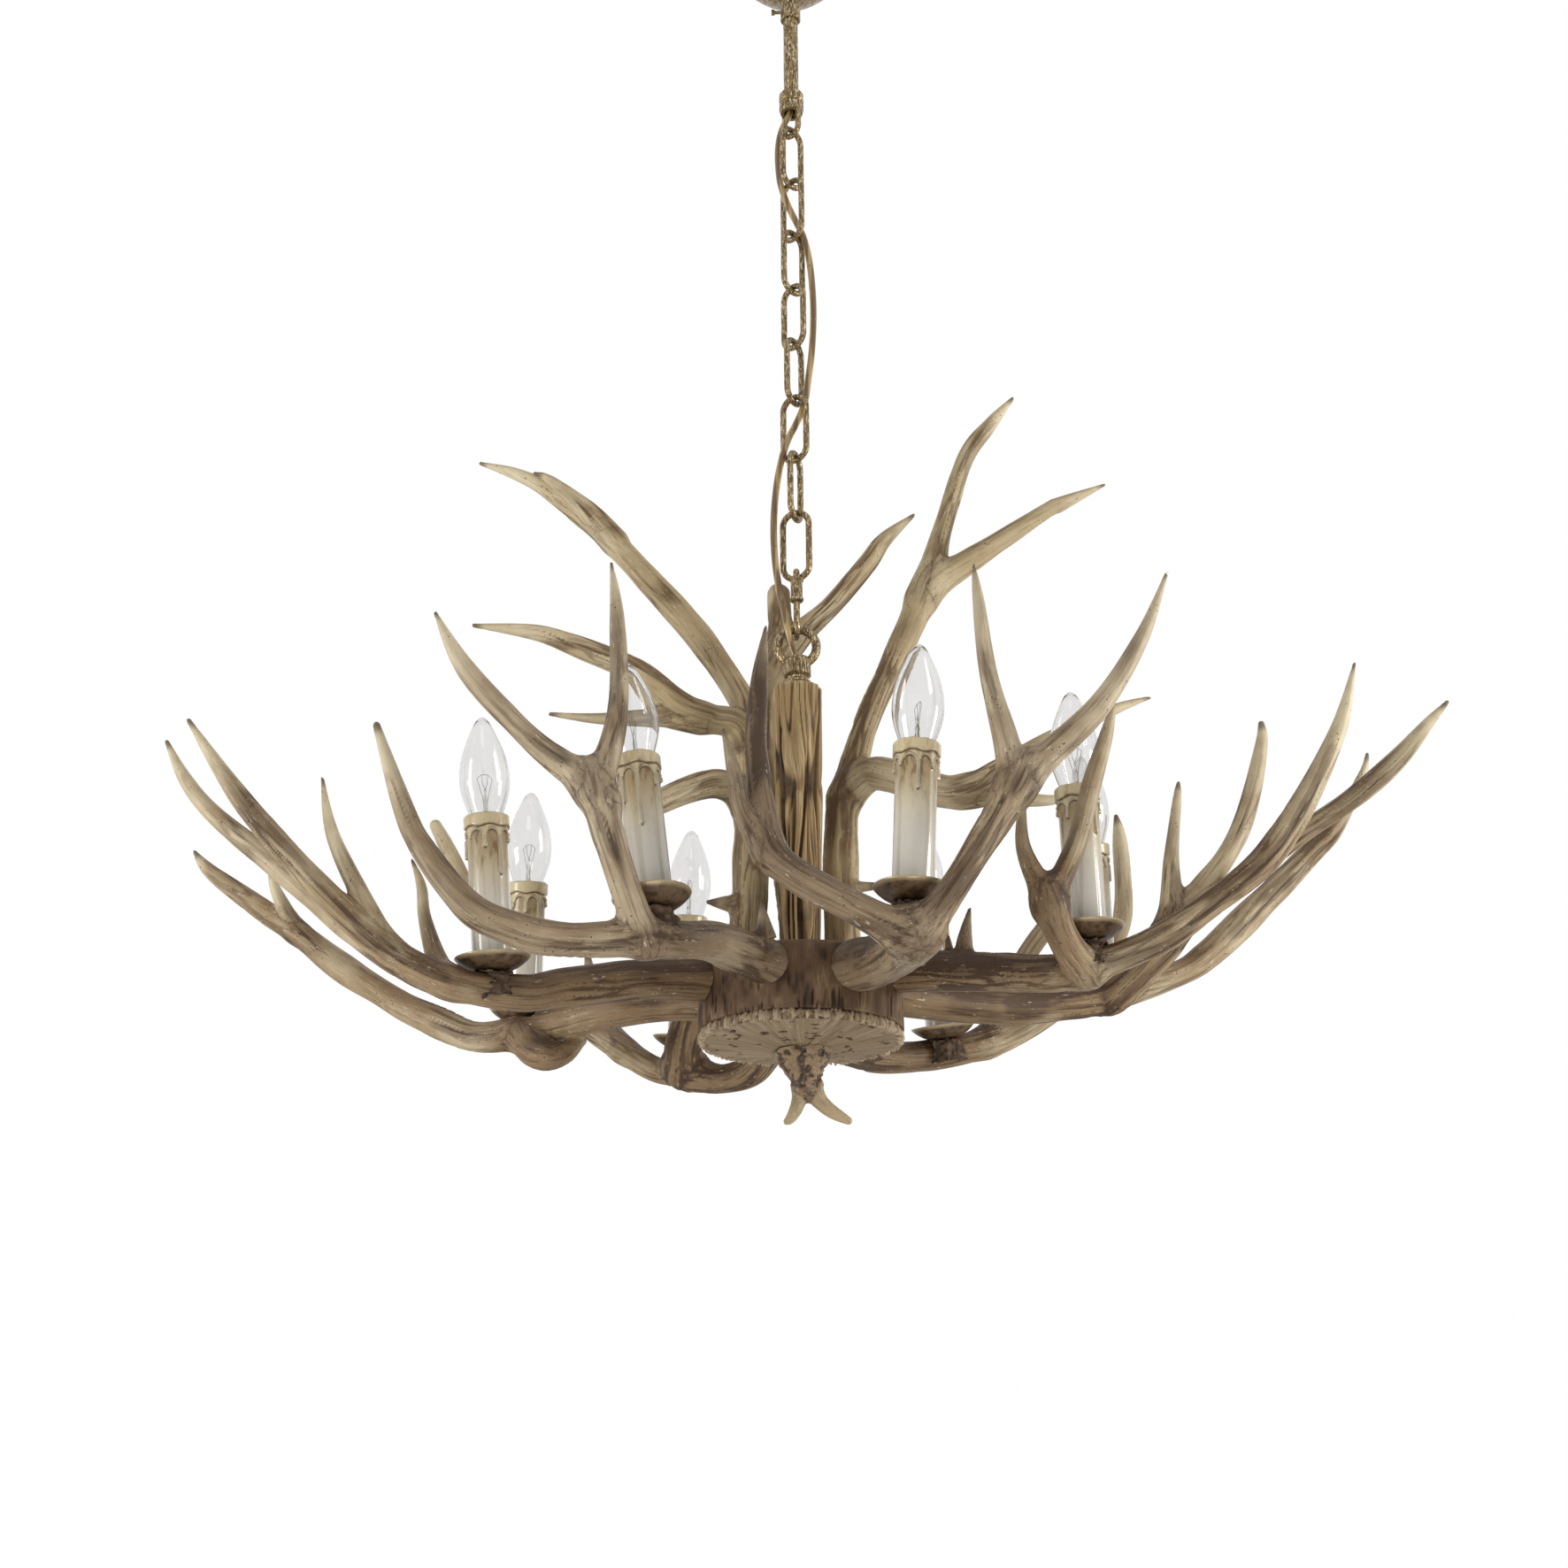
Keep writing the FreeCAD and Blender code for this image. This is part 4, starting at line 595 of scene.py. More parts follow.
def antler_finish(name, middle, dark, pale, hub_shade_strength):
    """Antler: stained grooves and streaks, pale tines; painted shade on tops, near the hub and in forks; painted
    light beneath.
    """
    finish = Finish(name)
    grain = finish.attribute("grain", "Vector")
    taper = finish.attribute("taper")
    place = finish.place()
    across, back = finish.part(place, "X"), finish.part(place, "Y")
    reach = (across * across + back * back) ** 0.5
    up = finish.part(finish.node("ShaderNodeNewGeometry", {}, out="Normal"), "Z")
    patch = finish.cloud(place, 16.0, 3.0, 0.55)
    streak = finish.cloud(finish.stretched(grain, 330, 330, 13), 1.0, 4.0, 0.62)
    thread = finish.cloud(finish.stretched(grain, 1150, 1150, 42), 1.0, 3.0, 0.6)
    speck = finish.cloud(finish.stretched(grain, 620, 620, 150), 1.0, 2.0, 0.6)
    blotch = finish.cloud(place, 62.0, 3.0, 0.6)
    pores = finish.node("ShaderNodeTexVoronoi", {}, Vector=place, Scale=300.0)
    pit = (1 - pores.ramp(0.10, 0.20)) * blotch.ramp(0.52, 0.60)
    # Painted shade over the antlers' inner parts round the hub, scaled by the finish's last argument.
    near = (1 - reach.ramp(0.10, 0.34)) * hub_shade_strength
    # Painted shade on upward faces and painted light on undersides, from the normal's height.
    top = up.ramp(-0.5, 0.9)
    body = 1 - taper * 0.75
    hollow = 1 - finish.attribute("groove").ramp(0.25, 0.85)
    # Darkening: staining in patches, streaks and grooves, plus painted shade on tops and round the hub.
    darkening = near * (0.34 + top * 0.40) + top * patch.ramp(0.40, 0.66) * 0.34
    # Painted shade in the crotches where limbs fork.
    darkening = darkening + finish.attribute("fork") * 0.30
    darkening = darkening + (streak.ramp(0.47, 0.66) * 0.50 + hollow * 0.62) * body
    darkening = (darkening + patch.ramp(0.52, 0.72) * 0.22 - 0.10).clamped()
    # Paleness: the tines' and patches' own pale tone and fine pale threads, plus painted light on undersides, less
    # near the hub.
    pale_and_painted_light = (1 - patch.ramp(0.36, 0.56)) * 0.45 + taper * 0.55 + (1 - top) * 0.30
    pale_and_painted_light = (pale_and_painted_light + thread.ramp(0.52, 0.66) * 0.40 - near * 0.45 - 0.15).clamped()
    colour = finish.blend(pale_and_painted_light, middle, pale)
    colour = finish.blend(darkening * 0.92, colour, dark)
    colour = finish.blend(thread.ramp(0.58, 0.74) * 0.45 * body, colour, darker(dark, 0.55))
    flake = speck.ramp(0.60, 0.68) * blotch.ramp(0.47, 0.58) * thread.ramp(0.45, 0.60)
    colour = finish.blend(flake * 0.7, colour, srgb(226, 218, 202))
    colour = finish.blend(pit * 0.8, colour, srgb(48, 34, 24))
    colour = finish.blend(finish.attribute("tip") * 0.75, colour, srgb(74, 58, 42))
    height = thread * 0.45 + streak * 0.5 - pit * 0.6 + speck * 0.12
    return finish.set(Base_Color=colour, Roughness=0.44 + darkening * 0.14, Specular_IOR_Level=0.32,
                      Normal=finish.bump(height, 0.0007))


def stub_finish(name):
    """Pitted stub: dark pits and a brown stain above, smooth pale tines below."""
    finish = Finish(name)
    speck = finish.cloud(finish.place(), 420.0, 3.0, 0.6)
    streak = finish.cloud(finish.stretched(finish.attribute("grain", "Vector"), 500, 500, 30), 1.0, 3.0, 0.6)
    colour = finish.blend(finish.attribute("groove").ramp(0.25, 0.75), srgb(60, 43, 30), srgb(136, 113, 85))
    colour = finish.blend(speck.ramp(0.52, 0.66) * 0.5, colour, srgb(170, 150, 118))
    colour = finish.blend(finish.attribute("taper") * 0.7, colour, srgb(190, 174, 138))
    colour = finish.blend(streak.ramp(0.50, 0.70) * 0.45, colour, srgb(98, 76, 52))
    return finish.set(Base_Color=colour, Roughness=0.5, Specular_IOR_Level=0.5,
                      Normal=finish.bump(speck + streak, 0.0005))


def bark_finish(name, middle, dark, pale, across, along):
    """Wood-like hub casting, its grain told by the piece's own grain attribute."""
    finish = Finish(name)
    grain = finish.attribute("grain", "Vector")
    groove = finish.attribute("groove")
    streak = finish.cloud(finish.stretched(grain, across, across, along), 1.0, 5.0, 0.62)
    fine = finish.cloud(finish.stretched(grain, across * 3.1, across * 3.1, along * 2.2), 1.0, 3.0, 0.6)
    patch = finish.cloud(finish.place(), 45.0, 3.0, 0.55)
    darkening = (1 - groove.ramp(0.18, 0.60)) * 0.85 + streak.ramp(0.45, 0.70) * 0.35
    darkening = (darkening + patch.ramp(0.50, 0.72) * 0.22 - 0.14).clamped()
    light = (groove.ramp(0.55, 0.95) * fine.ramp(0.40, 0.62)).clamped()
    colour = finish.blend(darkening, middle, dark)
    colour = finish.blend(light * 0.75, colour, pale)
    return finish.set(Base_Color=colour, Roughness=0.62 - groove * 0.1, Specular_IOR_Level=0.25,
                      Normal=finish.bump(streak * 0.6 + fine * 0.4, 0.0008))


def aged_brass_finish(name):
    """Brown brass, mottled with dark patina and dark spots, with pale upright flecks of rubbed wear and painted
    highlight streaks.
    """
    finish = Finish(name)
    place = finish.place()
    mottle = finish.cloud(finish.stretched(place, 420, 420, 110), 1.0, 4.0, 0.65)
    rub_and_highlight_fleck = finish.cloud(finish.stretched(place, 900, 900, 200), 1.0, 3.0, 0.6)
    spot = finish.cloud(place, 700.0, 2.0, 0.6)
    patina = mottle.ramp(0.40, 0.62)
    colour = finish.blend(patina, tuple(look().brass), srgb(86, 66, 42))
    colour = finish.blend(spot.ramp(0.56, 0.64) * 0.65, colour, srgb(52, 36, 24))
    # Pale upright flecks: rubbed brass and painted highlight streaks.
    colour = finish.blend(rub_and_highlight_fleck.ramp(0.54, 0.64) * 0.75, colour, srgb(236, 224, 192))
    return finish.set(Base_Color=colour, Metallic=0.80 - patina * 0.30, Roughness=0.24 + patina * 0.18,
                      Normal=finish.bump(rub_and_highlight_fleck + mottle, 0.0005))


def plain_metal_finish(name, colour, roughness):
    finish = Finish(name)
    wear = finish.cloud(finish.place(), 300.0, 3.0, 0.6)
    tone = finish.blend(wear.ramp(0.35, 0.7) * 0.5, colour, darker(colour, 0.6))
    return finish.set(Base_Color=tone, Metallic=0.9, Roughness=roughness + wear * 0.15,
                      Normal=finish.bump(wear, 0.0002))


def dish_finish(name):
    """Dark bronze paint, mottled, with a paler line painted round the rim as a highlight."""
    finish = Finish(name)
    mottle = finish.cloud(finish.place(), 160.0, 4.0, 0.6)
    edge = finish.attribute("edge")
    colour = finish.blend(mottle.ramp(0.4, 0.66), srgb(118, 96, 72), srgb(74, 56, 41))
    # Painted highlight round the rim.
    colour = finish.blend(edge * 0.85, colour, srgb(190, 172, 138))
    return finish.set(Base_Color=colour, Metallic=0.35, Roughness=0.42 - edge * 0.12,
                      Normal=finish.bump(mottle, 0.0005))


def candle_finish(name):
    """Candle sleeve: glossy white below, cream above, with a brown wash round the drips."""
    finish = Finish(name)
    wash = finish.attribute("wash")
    warm = finish.attribute("warm")
    place = finish.place()
    cloud = finish.cloud(finish.stretched(place, 1, 1, 0.3), 230.0, 4.0, 0.6)
    speck = finish.cloud(place, 900.0, 2.0, 0.5)
    ivory = finish.blend(warm, tuple(look().wax), srgb(208, 192, 152))
    washed = (wash * (0.55 + cloud * 0.8) + warm * cloud.ramp(0.50, 0.70) * 0.45).clamped()
    colour = finish.blend(washed, ivory, srgb(118, 90, 46))
    colour = finish.blend(wash.ramp(0.66, 0.90) * 0.9, colour, srgb(58, 40, 21))
    return finish.set(Base_Color=colour, Roughness=0.22 + washed * 0.25, Specular_IOR_Level=0.6,
                      Coat_Weight=0.85 - warm * 0.5, Coat_Roughness=0.06,
                      Normal=finish.bump(speck * 0.3 + cloud * 0.3, 0.0002))


def glass_finish(name):
    """Clear glass whose own grey shows where the wall is seen edge on."""
    finish = Finish(name)
    depth = finish.node("ShaderNodeVolumeAbsorption", {}, Color=(0.42, 0.39, 0.37, 1), Density=210.0)
    finish.feed(finish.nodes["Material Output"].inputs["Volume"], depth)
    return finish.set(Base_Color=(0.97, 0.97, 0.965, 1), Roughness=0.0, IOR=1.47, Transmission_Weight=1.0)


def moulded_finish(name, colour, roughness):
    finish = Finish(name)
    grain = finish.cloud(finish.place(), 800.0, 2.0, 0.5)
    return finish.set(Base_Color=colour, Roughness=roughness, Normal=finish.bump(grain, 0.0001))


def cord_finish(name):
    """Amber jacket, through which the paler conductors show in long streaks."""
    finish = Finish(name)
    band = finish.cloud(finish.stretched(finish.place(), 260, 260, 6), 1.0, 2.0, 0.4)
    colour = finish.blend(band.ramp(0.42, 0.60), tuple(look().cord), srgb(178, 150, 94))
    return finish.set(Base_Color=colour, Roughness=0.28, Coat_Weight=0.5, Coat_Roughness=0.1)


# --------------------------------------------------------------------------------------------- antlers
def turned_to(heading):
    return Matrix.Rotation(math.radians(heading - 90), 4, "Z")


def side_place(heading):
    turn = turned_to(heading)
    foot = turn @ Vector((DRUM_RADIUS, 0, 0))
    return Matrix.Translation((foot.x, foot.y, DRUM_MIDDLE)) @ turn


def crown_place(heading):
    return Matrix.Translation((0, 0, DRUM_HIGH.z)) @ turned_to(heading)


def tangents_of(line):
    """The unit direction of a line at each of its points."""
    tangents = np.gradient(line, axis=0)
    return tangents / np.linalg.norm(tangents, axis=1)[:, None]


def carried_sides(tangents):
    """A direction square to a line at each of its points, which never twists round it."""
    start = np.cross(tangents[0], [0.3, 0.2, 0.93])
    sides = [start / np.linalg.norm(start)]
    for tangent in tangents[1:]:
        side = sides[-1] - tangent * np.dot(sides[-1], tangent)
        sides.append(side / np.linalg.norm(side))
    return np.array(sides)


Reading = namedtuple("Reading", "out way place radius")


class Limb:
    """A limb's centre line with its radius, its length along and a frame that never twists."""

    STEP = 0.003             # between the samples of the line
    SLACK = 0.0016           # how far along from its nearest sample a point is still measured
    FINEST_RADIUS = 0.0006

    def __init__(self, circles, place):
        knots = np.array(circles, float) * MM
        samples = self.smoothed(knots)
        turn = np.array(place.to_3x3())
        self.centre = samples[:, :3] @ turn.T + np.array(place.translation)
        self.radius = np.maximum(samples[:, 3], self.FINEST_RADIUS)
        lengths = np.linalg.norm(np.diff(self.centre, axis=0), axis=1)
        self.along = np.concatenate([[0], np.cumsum(lengths)])
        self.slope = np.gradient(self.radius) / np.maximum(np.gradient(self.along), WELD)
        self.tangent = tangents_of(self.centre)
        self.side = carried_sides(self.tangent)
        self.other = np.cross(self.tangent, self.side)

    def smoothed(self, knots):
        """Samples of the smooth curve that passes through every knot."""
        samples = []
        last = len(knots) - 1
        for index in range(last):
            before, start = knots[max(index - 1, 0)], knots[index]
            end, after = knots[index + 1], knots[min(index + 2, last)]
            steps = max(2, int(np.linalg.norm(end[:3] - start[:3]) / self.STEP))
            for share in np.arange(steps) / steps:
                samples.append(0.5 * (2 * start + (end - before) * share
                               + (2 * before - 5 * start + 4 * end - after) * share ** 2
                               + (3 * start - 3 * end + after - before) * share ** 3))
        return np.array(samples + [knots[last]])

    def nearest(self, points):
        """The number of the sample nearest to each point."""
        lot = 20000          # points at a time, to spare memory
        best = np.empty(len(points), int)
        for start in range(0, len(points), lot):
            chunk = points[start:start + lot]
            reach = ((chunk ** 2).sum(1)[:, None] - 2 * chunk @ self.centre.T
                     + (self.centre ** 2).sum(1)[None, :])
            best[start:start + lot] = reach.argmin(1)
        return best

    def measure(self, points, best):
        """Distance out of the limb's surface, the way out, the place on the limb and its radius there."""
        offset = points - self.centre[best]
        ahead = (offset * self.tangent[best]).sum(1)
        ahead = np.clip(ahead, np.where(best == 0, 0, -self.SLACK),
                        np.where(best == len(self.radius) - 1, 0, self.SLACK))
        offset = offset - self.tangent[best] * ahead[:, None]
        reach = np.linalg.norm(offset, axis=1)
        radius = self.radius[best] + self.slope[best] * ahead
        across = (offset * self.side[best]).sum(1)
        back = (offset * self.other[best]).sum(1)
        place = np.stack([across, back, self.along[best] + ahead], 1)
        return Reading(reach - radius, offset / np.maximum(reach, ROUNDING)[:, None], place, radius)


def relief(place, radius, points, seed):
    """Height of the grooves and swellings at a place on a limb, and the groove's tone from 0 to 1."""
    stray = GROOVE_WANDER * (noise(points / 0.03, seed + 2) - 0.5)[:, None] * (1, 1, 0)
    flow = place + stray
    coarse = ridges(flow / COARSE_GROOVE, seed)
    medium = ridges(flow / MEDIUM_GROOVE, seed + 3)
    fine = noise(flow / FINE_GROOVE, seed + 5)
    carved = smooth_step(noise(points / 0.045, seed + 7), 0.36, 0.62)
    swell = noise(points / 0.028, seed + 9) - 0.5
    deep = 1 - smooth_step(coarse, 0.04, 0.34)
    narrow = (1 - smooth_step(medium, 0.03, 0.26)) * (0.25 + 0.75 * carved)
    cut = np.maximum(deep * (0.35 + 0.65 * carved), 0.8 * narrow)
    tone = 1 - 0.85 * cut - 0.15 * (1 - fine)
    height = (0.3 - cut) * GROOVE_DEPTH + (fine - 0.5) * FINE_DEPTH * carved
    height *= smooth_step(radius, 0.0045, 0.0130)
    return height + swell * SWELLING * smooth_step(radius, 0.004, 0.012), tone


def joined(first, second, reach):
    """Two distances joined with a smooth web between them."""
    share = np.clip(0.5 + 0.5 * (second - first) / reach, 0, 1)
    return second + (first - second) * share - reach * share * (1 - share)


def webbed(readings, web):
    """The limbs' joined surface: its distance, the nearest limb's, each limb's share and the way out."""
    least = np.min([reading.out for reading in readings], axis=0)
    shares = np.exp(-(np.array([reading.out for reading in readings]) - least) / FORK_REACH)
    shares /= shares.sum(0)
    surface, thickness = readings[0].out, readings[0].radius
    for reading in readings[1:]:
        reach = np.clip(web * np.minimum(thickness, reading.radius), 0.0006, 0.016)
        thickness = np.where(reading.out < surface, reading.radius, thickness)
        surface = joined(surface, reading.out, reach)
    way = sum(share[:, None] * reading.way for share, reading in zip(shares, readings))
    way /= np.maximum(np.linalg.norm(way, axis=1), WELD)[:, None]
    return surface, least, shares, way


def grown_piece(name, node, limbs, keep_clear, voxel, seed, web=0.95):
    """The CAD solid's skin drawn onto the smooth, grooved surface of its limbs."""
    piece = skinned_copy(name, node, voxel)
    points = read_vectors(piece.data, "co")
    free = None
    for turn, amount in enumerate(DRAWN_SHARES):
        if turn != 1:
            best = [limb.nearest(points) for limb in limbs]
        readings = [limb.measure(points, index) for limb, index in zip(limbs, best)]
        surface, least, shares, way = webbed(readings, web)
        if free is None:
            free = smooth_step(least, -0.0055, -0.0025)
        reliefs = [relief(reading.place, reading.radius, points, seed + 17 * number)
                   for number, reading in enumerate(readings)]
        raised, tone = (sum(share * level for share, level in zip(shares, levels))
                        for levels in zip(*reliefs))
        shift = np.clip(raised - surface, -DRAWN_AT_MOST, DRAWN_AT_MOST) * free * amount
        points = points + way * shift[:, None]
    write_points(piece.data, np.clip(keep_clear(points), *BOUNDS_OF_FRAME))
    mark_limbs(piece.data, limbs, readings, shares)
    write_number(piece.data, "groove", tone)
    # How deep a point lies in a fork; the antler finish paints shade there.
    write_number(piece.data, "fork", smooth_step(least - surface, 0.0002, 0.0030))
    return piece


def mark_limbs(mesh, limbs, readings, shares):
    """Writes each point's place along its own limb, how thin the limb is there and how near its tip."""
    chosen = shares.argmax(0)
    grain = np.zeros((len(chosen), 3))
    taper, tip = np.zeros(len(chosen)), np.zeros(len(chosen))
    for number, (limb, reading) in enumerate(zip(limbs, readings)):
        mine = chosen == number
        apart = np.array([0.031, 0.017, 0.23]) * number
        grain[mine] = reading.place[mine] + apart
        taper[mine] = smooth_step(-reading.radius[mine], -0.0085, -0.0035)
        if limb.radius[-1] < 0.003:
            left = limb.along[-1] - reading.place[mine, 2]
            tip[mine] = smooth_step(-left, -0.010, -0.002)
    write_vector(mesh, "grain", grain)
    write_number(mesh, "taper", taper)
    write_number(mesh, "tip", tip)


def clear_of_drum(points):
    reach = np.hypot(points[:, 0], points[:, 1])
    push = np.maximum(1, (DRUM_RADIUS + HAIR) / np.maximum(reach, WELD))
    push = np.where(points[:, 2] > DRUM_LOW.z - 0.02, push, 1)
    return points * np.stack([push, push, np.ones(len(points))], 1)


def above_drum(points):
    return np.maximum(points, (-np.inf, -np.inf, DRUM_HIGH.z + HAIR))


def below_plate(points):
    return np.minimum(points, (np.inf, np.inf, PLATE_LOW.z - HAIR))


# ------------------------------------------------------------------------------------------- candles
def candle_places():
    """Each lamp's place: its seat on the antler, with +Z up the leaning candle."""
    places = []
    for name, seat, lean in CANDLES:
        foot = side_place(SIDE_ANTLERS[name]["heading"])
        axis = Vector((math.tan(math.radians(lean[0])), math.tan(math.radians(lean[1])), 1))
        tilt = Vector((0, 0, 1)).rotation_difference(axis).to_matrix().to_4x4()
        places.append(foot @ Matrix.Translation(Vector(seat) * MM) @ tilt)
    return places


def sleeve_drips(rng):
    """The drips round a sleeve as (angle, length, half width), in order."""
    lengths = rng.permutation(DRIP_LENGTHS)
    apart = 2 * math.pi / len(lengths)
    return [(-math.pi + (number + 0.5) * apart + rng.uniform(-0.08, 0.08), length, rng.uniform(0.075, 0.11))
            for number, length in enumerate(lengths)]


def sleeve_edge(angle, drips):
    """Depth of the wax's lower edge below the sleeve's top: round arches between hanging drips."""
    edge = np.zeros_like(angle)
    for number, (centre, length, half) in enumerate(drips):
        after, _, half_after = drips[(number + 1) % len(drips)]
        span = (after - centre) % (2 * math.pi)
        turn = (angle - centre) % (2 * math.pi)
        inside = (turn > half) & (turn < span - half_after)
        share = np.clip((turn - half) / (span - half - half_after) * 2 - 1, -1, 1)
        arch = ARCH_TOP + (ARCH_FOOT - ARCH_TOP) * (1 - np.sqrt(1 - share ** 2))
        edge = np.where(inside, arch, edge)
        off = np.minimum(turn, 2 * math.pi - turn)
        hang = ARCH_FOOT + length - (1 - np.sqrt(1 - np.clip(off / half, 0, 1) ** 2)) * 0.0022
        edge = np.where(off <= half, hang, edge)
    return edge


def sleeve_wax(angle, below, drips):
    """How far the wax stands proud of the sleeve, how brown it is and how cream, over the sleeve."""
    gap = sleeve_edge(angle, drips) - below
    side = np.full_like(angle, 1.0)
    drop = np.zeros_like(angle)
    hanging = below > COLLAR_HEIGHT + 0.0080
    for centre, length, half in drips:
        off = np.abs((angle - centre + math.pi) % (2 * math.pi) - math.pi)
        side = np.where(hanging & (off < half * 1.6), np.minimum(side, (half - off) * SLEEVE_RADIUS), side)
        foot = ARCH_FOOT + length - 0.0020
        drop = np.maximum(drop, bell(off * SLEEVE_RADIUS, 0.0015) * bell(below - foot, 0.0021))
    inward = np.minimum(gap, side)
    coat = smooth_step(inward, -0.0002, 0.0005)
    rim = bell(inward - 0.0006, 0.0005)
    proud = np.minimum(0.0007 * coat + 0.0011 * rim + 0.0010 * drop, WAX_PROUD)
    collar = COLLAR_HEIGHT + 0.0007 * np.cos(angle * 6 + 0.6)
    on_collar = smooth_step(collar - below, -0.0003, 0.0003)
    proud = proud * (1 - on_collar) + (COLLAR_RADIUS - SLEEVE_RADIUS) * on_collar
    hollow = smooth_step(-inward, 0.0, 0.0012) * smooth_step(COLLAR_HEIGHT + 0.042 - below, 0, 0.036)
    wash = np.maximum.reduce([bell(below - collar - 0.0006, 0.0008),
                              bell(inward + 0.0006, 0.0008) * (below > COLLAR_HEIGHT),
                              0.66 * hollow,
                              0.7 * bell(inward - 0.0016, 0.0005) * (below > collar)])
    warm = smooth_step(0.070 - below, 0.0, 0.050) * (1 - 0.5 * rim)
    return proud, np.clip(wash, 0, 1), warm


def sleeve_piece(number, place):
    """One candle sleeve under its own poured wax, with a chipped top."""
    levels = np.concatenate([np.linspace(SLEEVE_FOOT, SLEEVE_TOP - DRIPPED, 24)[:-1],
                             np.linspace(SLEEVE_TOP - DRIPPED, SLEEVE_TOP, 128)])
    outline = [(SLEEVE_RADIUS, level) for level in levels]
    outline += [(SLEEVE_BORE, SLEEVE_TOP), (SLEEVE_BORE, SLEEVE_FOOT)]
    piece = turned("candle_sleeve_{}".format(number), outline, SLEEVE_SEGMENTS)
    points = read_vectors(piece.data, "co")
    angle, circle, reach = polar(points)
    outside = reach > (SLEEVE_RADIUS + SLEEVE_BORE) / 2
    below = SLEEVE_TOP - points[:, 2]
    proud, wash, warm = sleeve_wax(angle, below, sleeve_drips(np.random.default_rng(100 + number)))
    chips = noise(wrapped(circle, 4, np.zeros(len(points)), 1), number)
    top = smooth_step(below, -0.0001, 0.0014)
    reach = np.where(outside, SLEEVE_RADIUS + proud * (0.55 + 0.45 * top), reach)
    height = points[:, 2] - 0.0009 * chips * (1 - top) * outside
    write_points(piece.data, np.column_stack([circle * reach[:, None], height]))
    piece.data.transform(place)
    chipped = 0.7 * smooth_step(chips, 0.45, 0.7) * (1 - smooth_step(below, 0.0002, 0.0015))
    write_number(piece.data, "wash", np.where(outside, np.maximum(wash, chipped), 0.6))
    write_number(piece.data, "warm", np.where(outside, warm, 1))
    return piece


# ----------------------------------------------------------------------------------------------- cord
def tube_rings(line, radius, count):
    """A ring of points round each point of a line."""
    tangents = tangents_of(line)
    sides = carried_sides(tangents)
    turns = np.arange(count) * 2 * math.pi / count
    across = sides[:, None] * np.cos(turns)[None, :, None]
    back = np.cross(tangents, sides)[:, None] * np.sin(turns)[None, :, None]
    return line[:, None] + radius * (across + back)


def tube_mesh(rings):
    """A closed tube through rings of points, with flat ends."""
    rows, count = rings.shape[:2]
    faces = [tuple(range(count))[::-1], tuple(range((rows - 1) * count, rows * count))]
    for low in range(0, (rows - 1) * count, count):
        for place in range(count):
            after = (place + 1) % count
            faces.append((low + place, low + after, low + count + after, low + count + place))
    mesh = bpy.data.meshes.new("feed_cord")
    mesh.from_pydata(rings.reshape(-1, 3).tolist(), [], faces)
    mesh.polygons.foreach_set("use_smooth", [number > 1 for number in range(len(faces))])
    return mesh


def mesh_of_line(curve):
    """The mesh of a curve that isn't kept."""
    holder = bpy.data.objects.new(curve.name, curve)
    bpy.context.scene.collection.objects.link(holder)
    mesh = bpy.data.meshes.new_from_object(holder)
    bpy.data.objects.remove(holder)
    return mesh


# -------------------------------------------------------------------------------------------- property
def colour_setting(name, description, colour):
    return bpy.props.FloatVectorProperty(name=name, description=description, size=4, subtype="COLOR",
                                         default=colour, min=0, max=1)


class ChandelierLook(bpy.types.PropertyGroup):
    antler_voxel: bpy.props.FloatProperty(
        name="Antler detail", description="Size of the cells that the antlers' skin is made of",
        default=0.0016, min=0.0008, max=0.005, unit="LENGTH", subtype="DISTANCE")
    light_strength: bpy.props.FloatProperty(
        name="Light", description="Strength of the soft light all round", default=0.50, min=0, max=5)
    key_power: bpy.props.FloatProperty(
        name="Key light", description="Power of the large front light in watts", default=29, min=0)
    grey_antler: colour_setting("Front antlers", "Middle tone of the antlers in front",
                                srgb(154, 133, 106))
    brown_antler: colour_setting("Side antlers", "Middle tone of the antlers at the sides and back",
                                 srgb(152, 127, 95))
    tan_antler: colour_setting("Crown antlers", "Middle tone of the antlers on top", srgb(190, 170, 132))
    wax: colour_setting("Wax", "White of the candle sleeves", srgb(204, 199, 188))
    brass: colour_setting("Brass", "Bare tone of the aged brass", srgb(150, 127, 86))
    cord: colour_setting("Cord", "Dark tone of the cord's jacket", srgb(104, 76, 38))


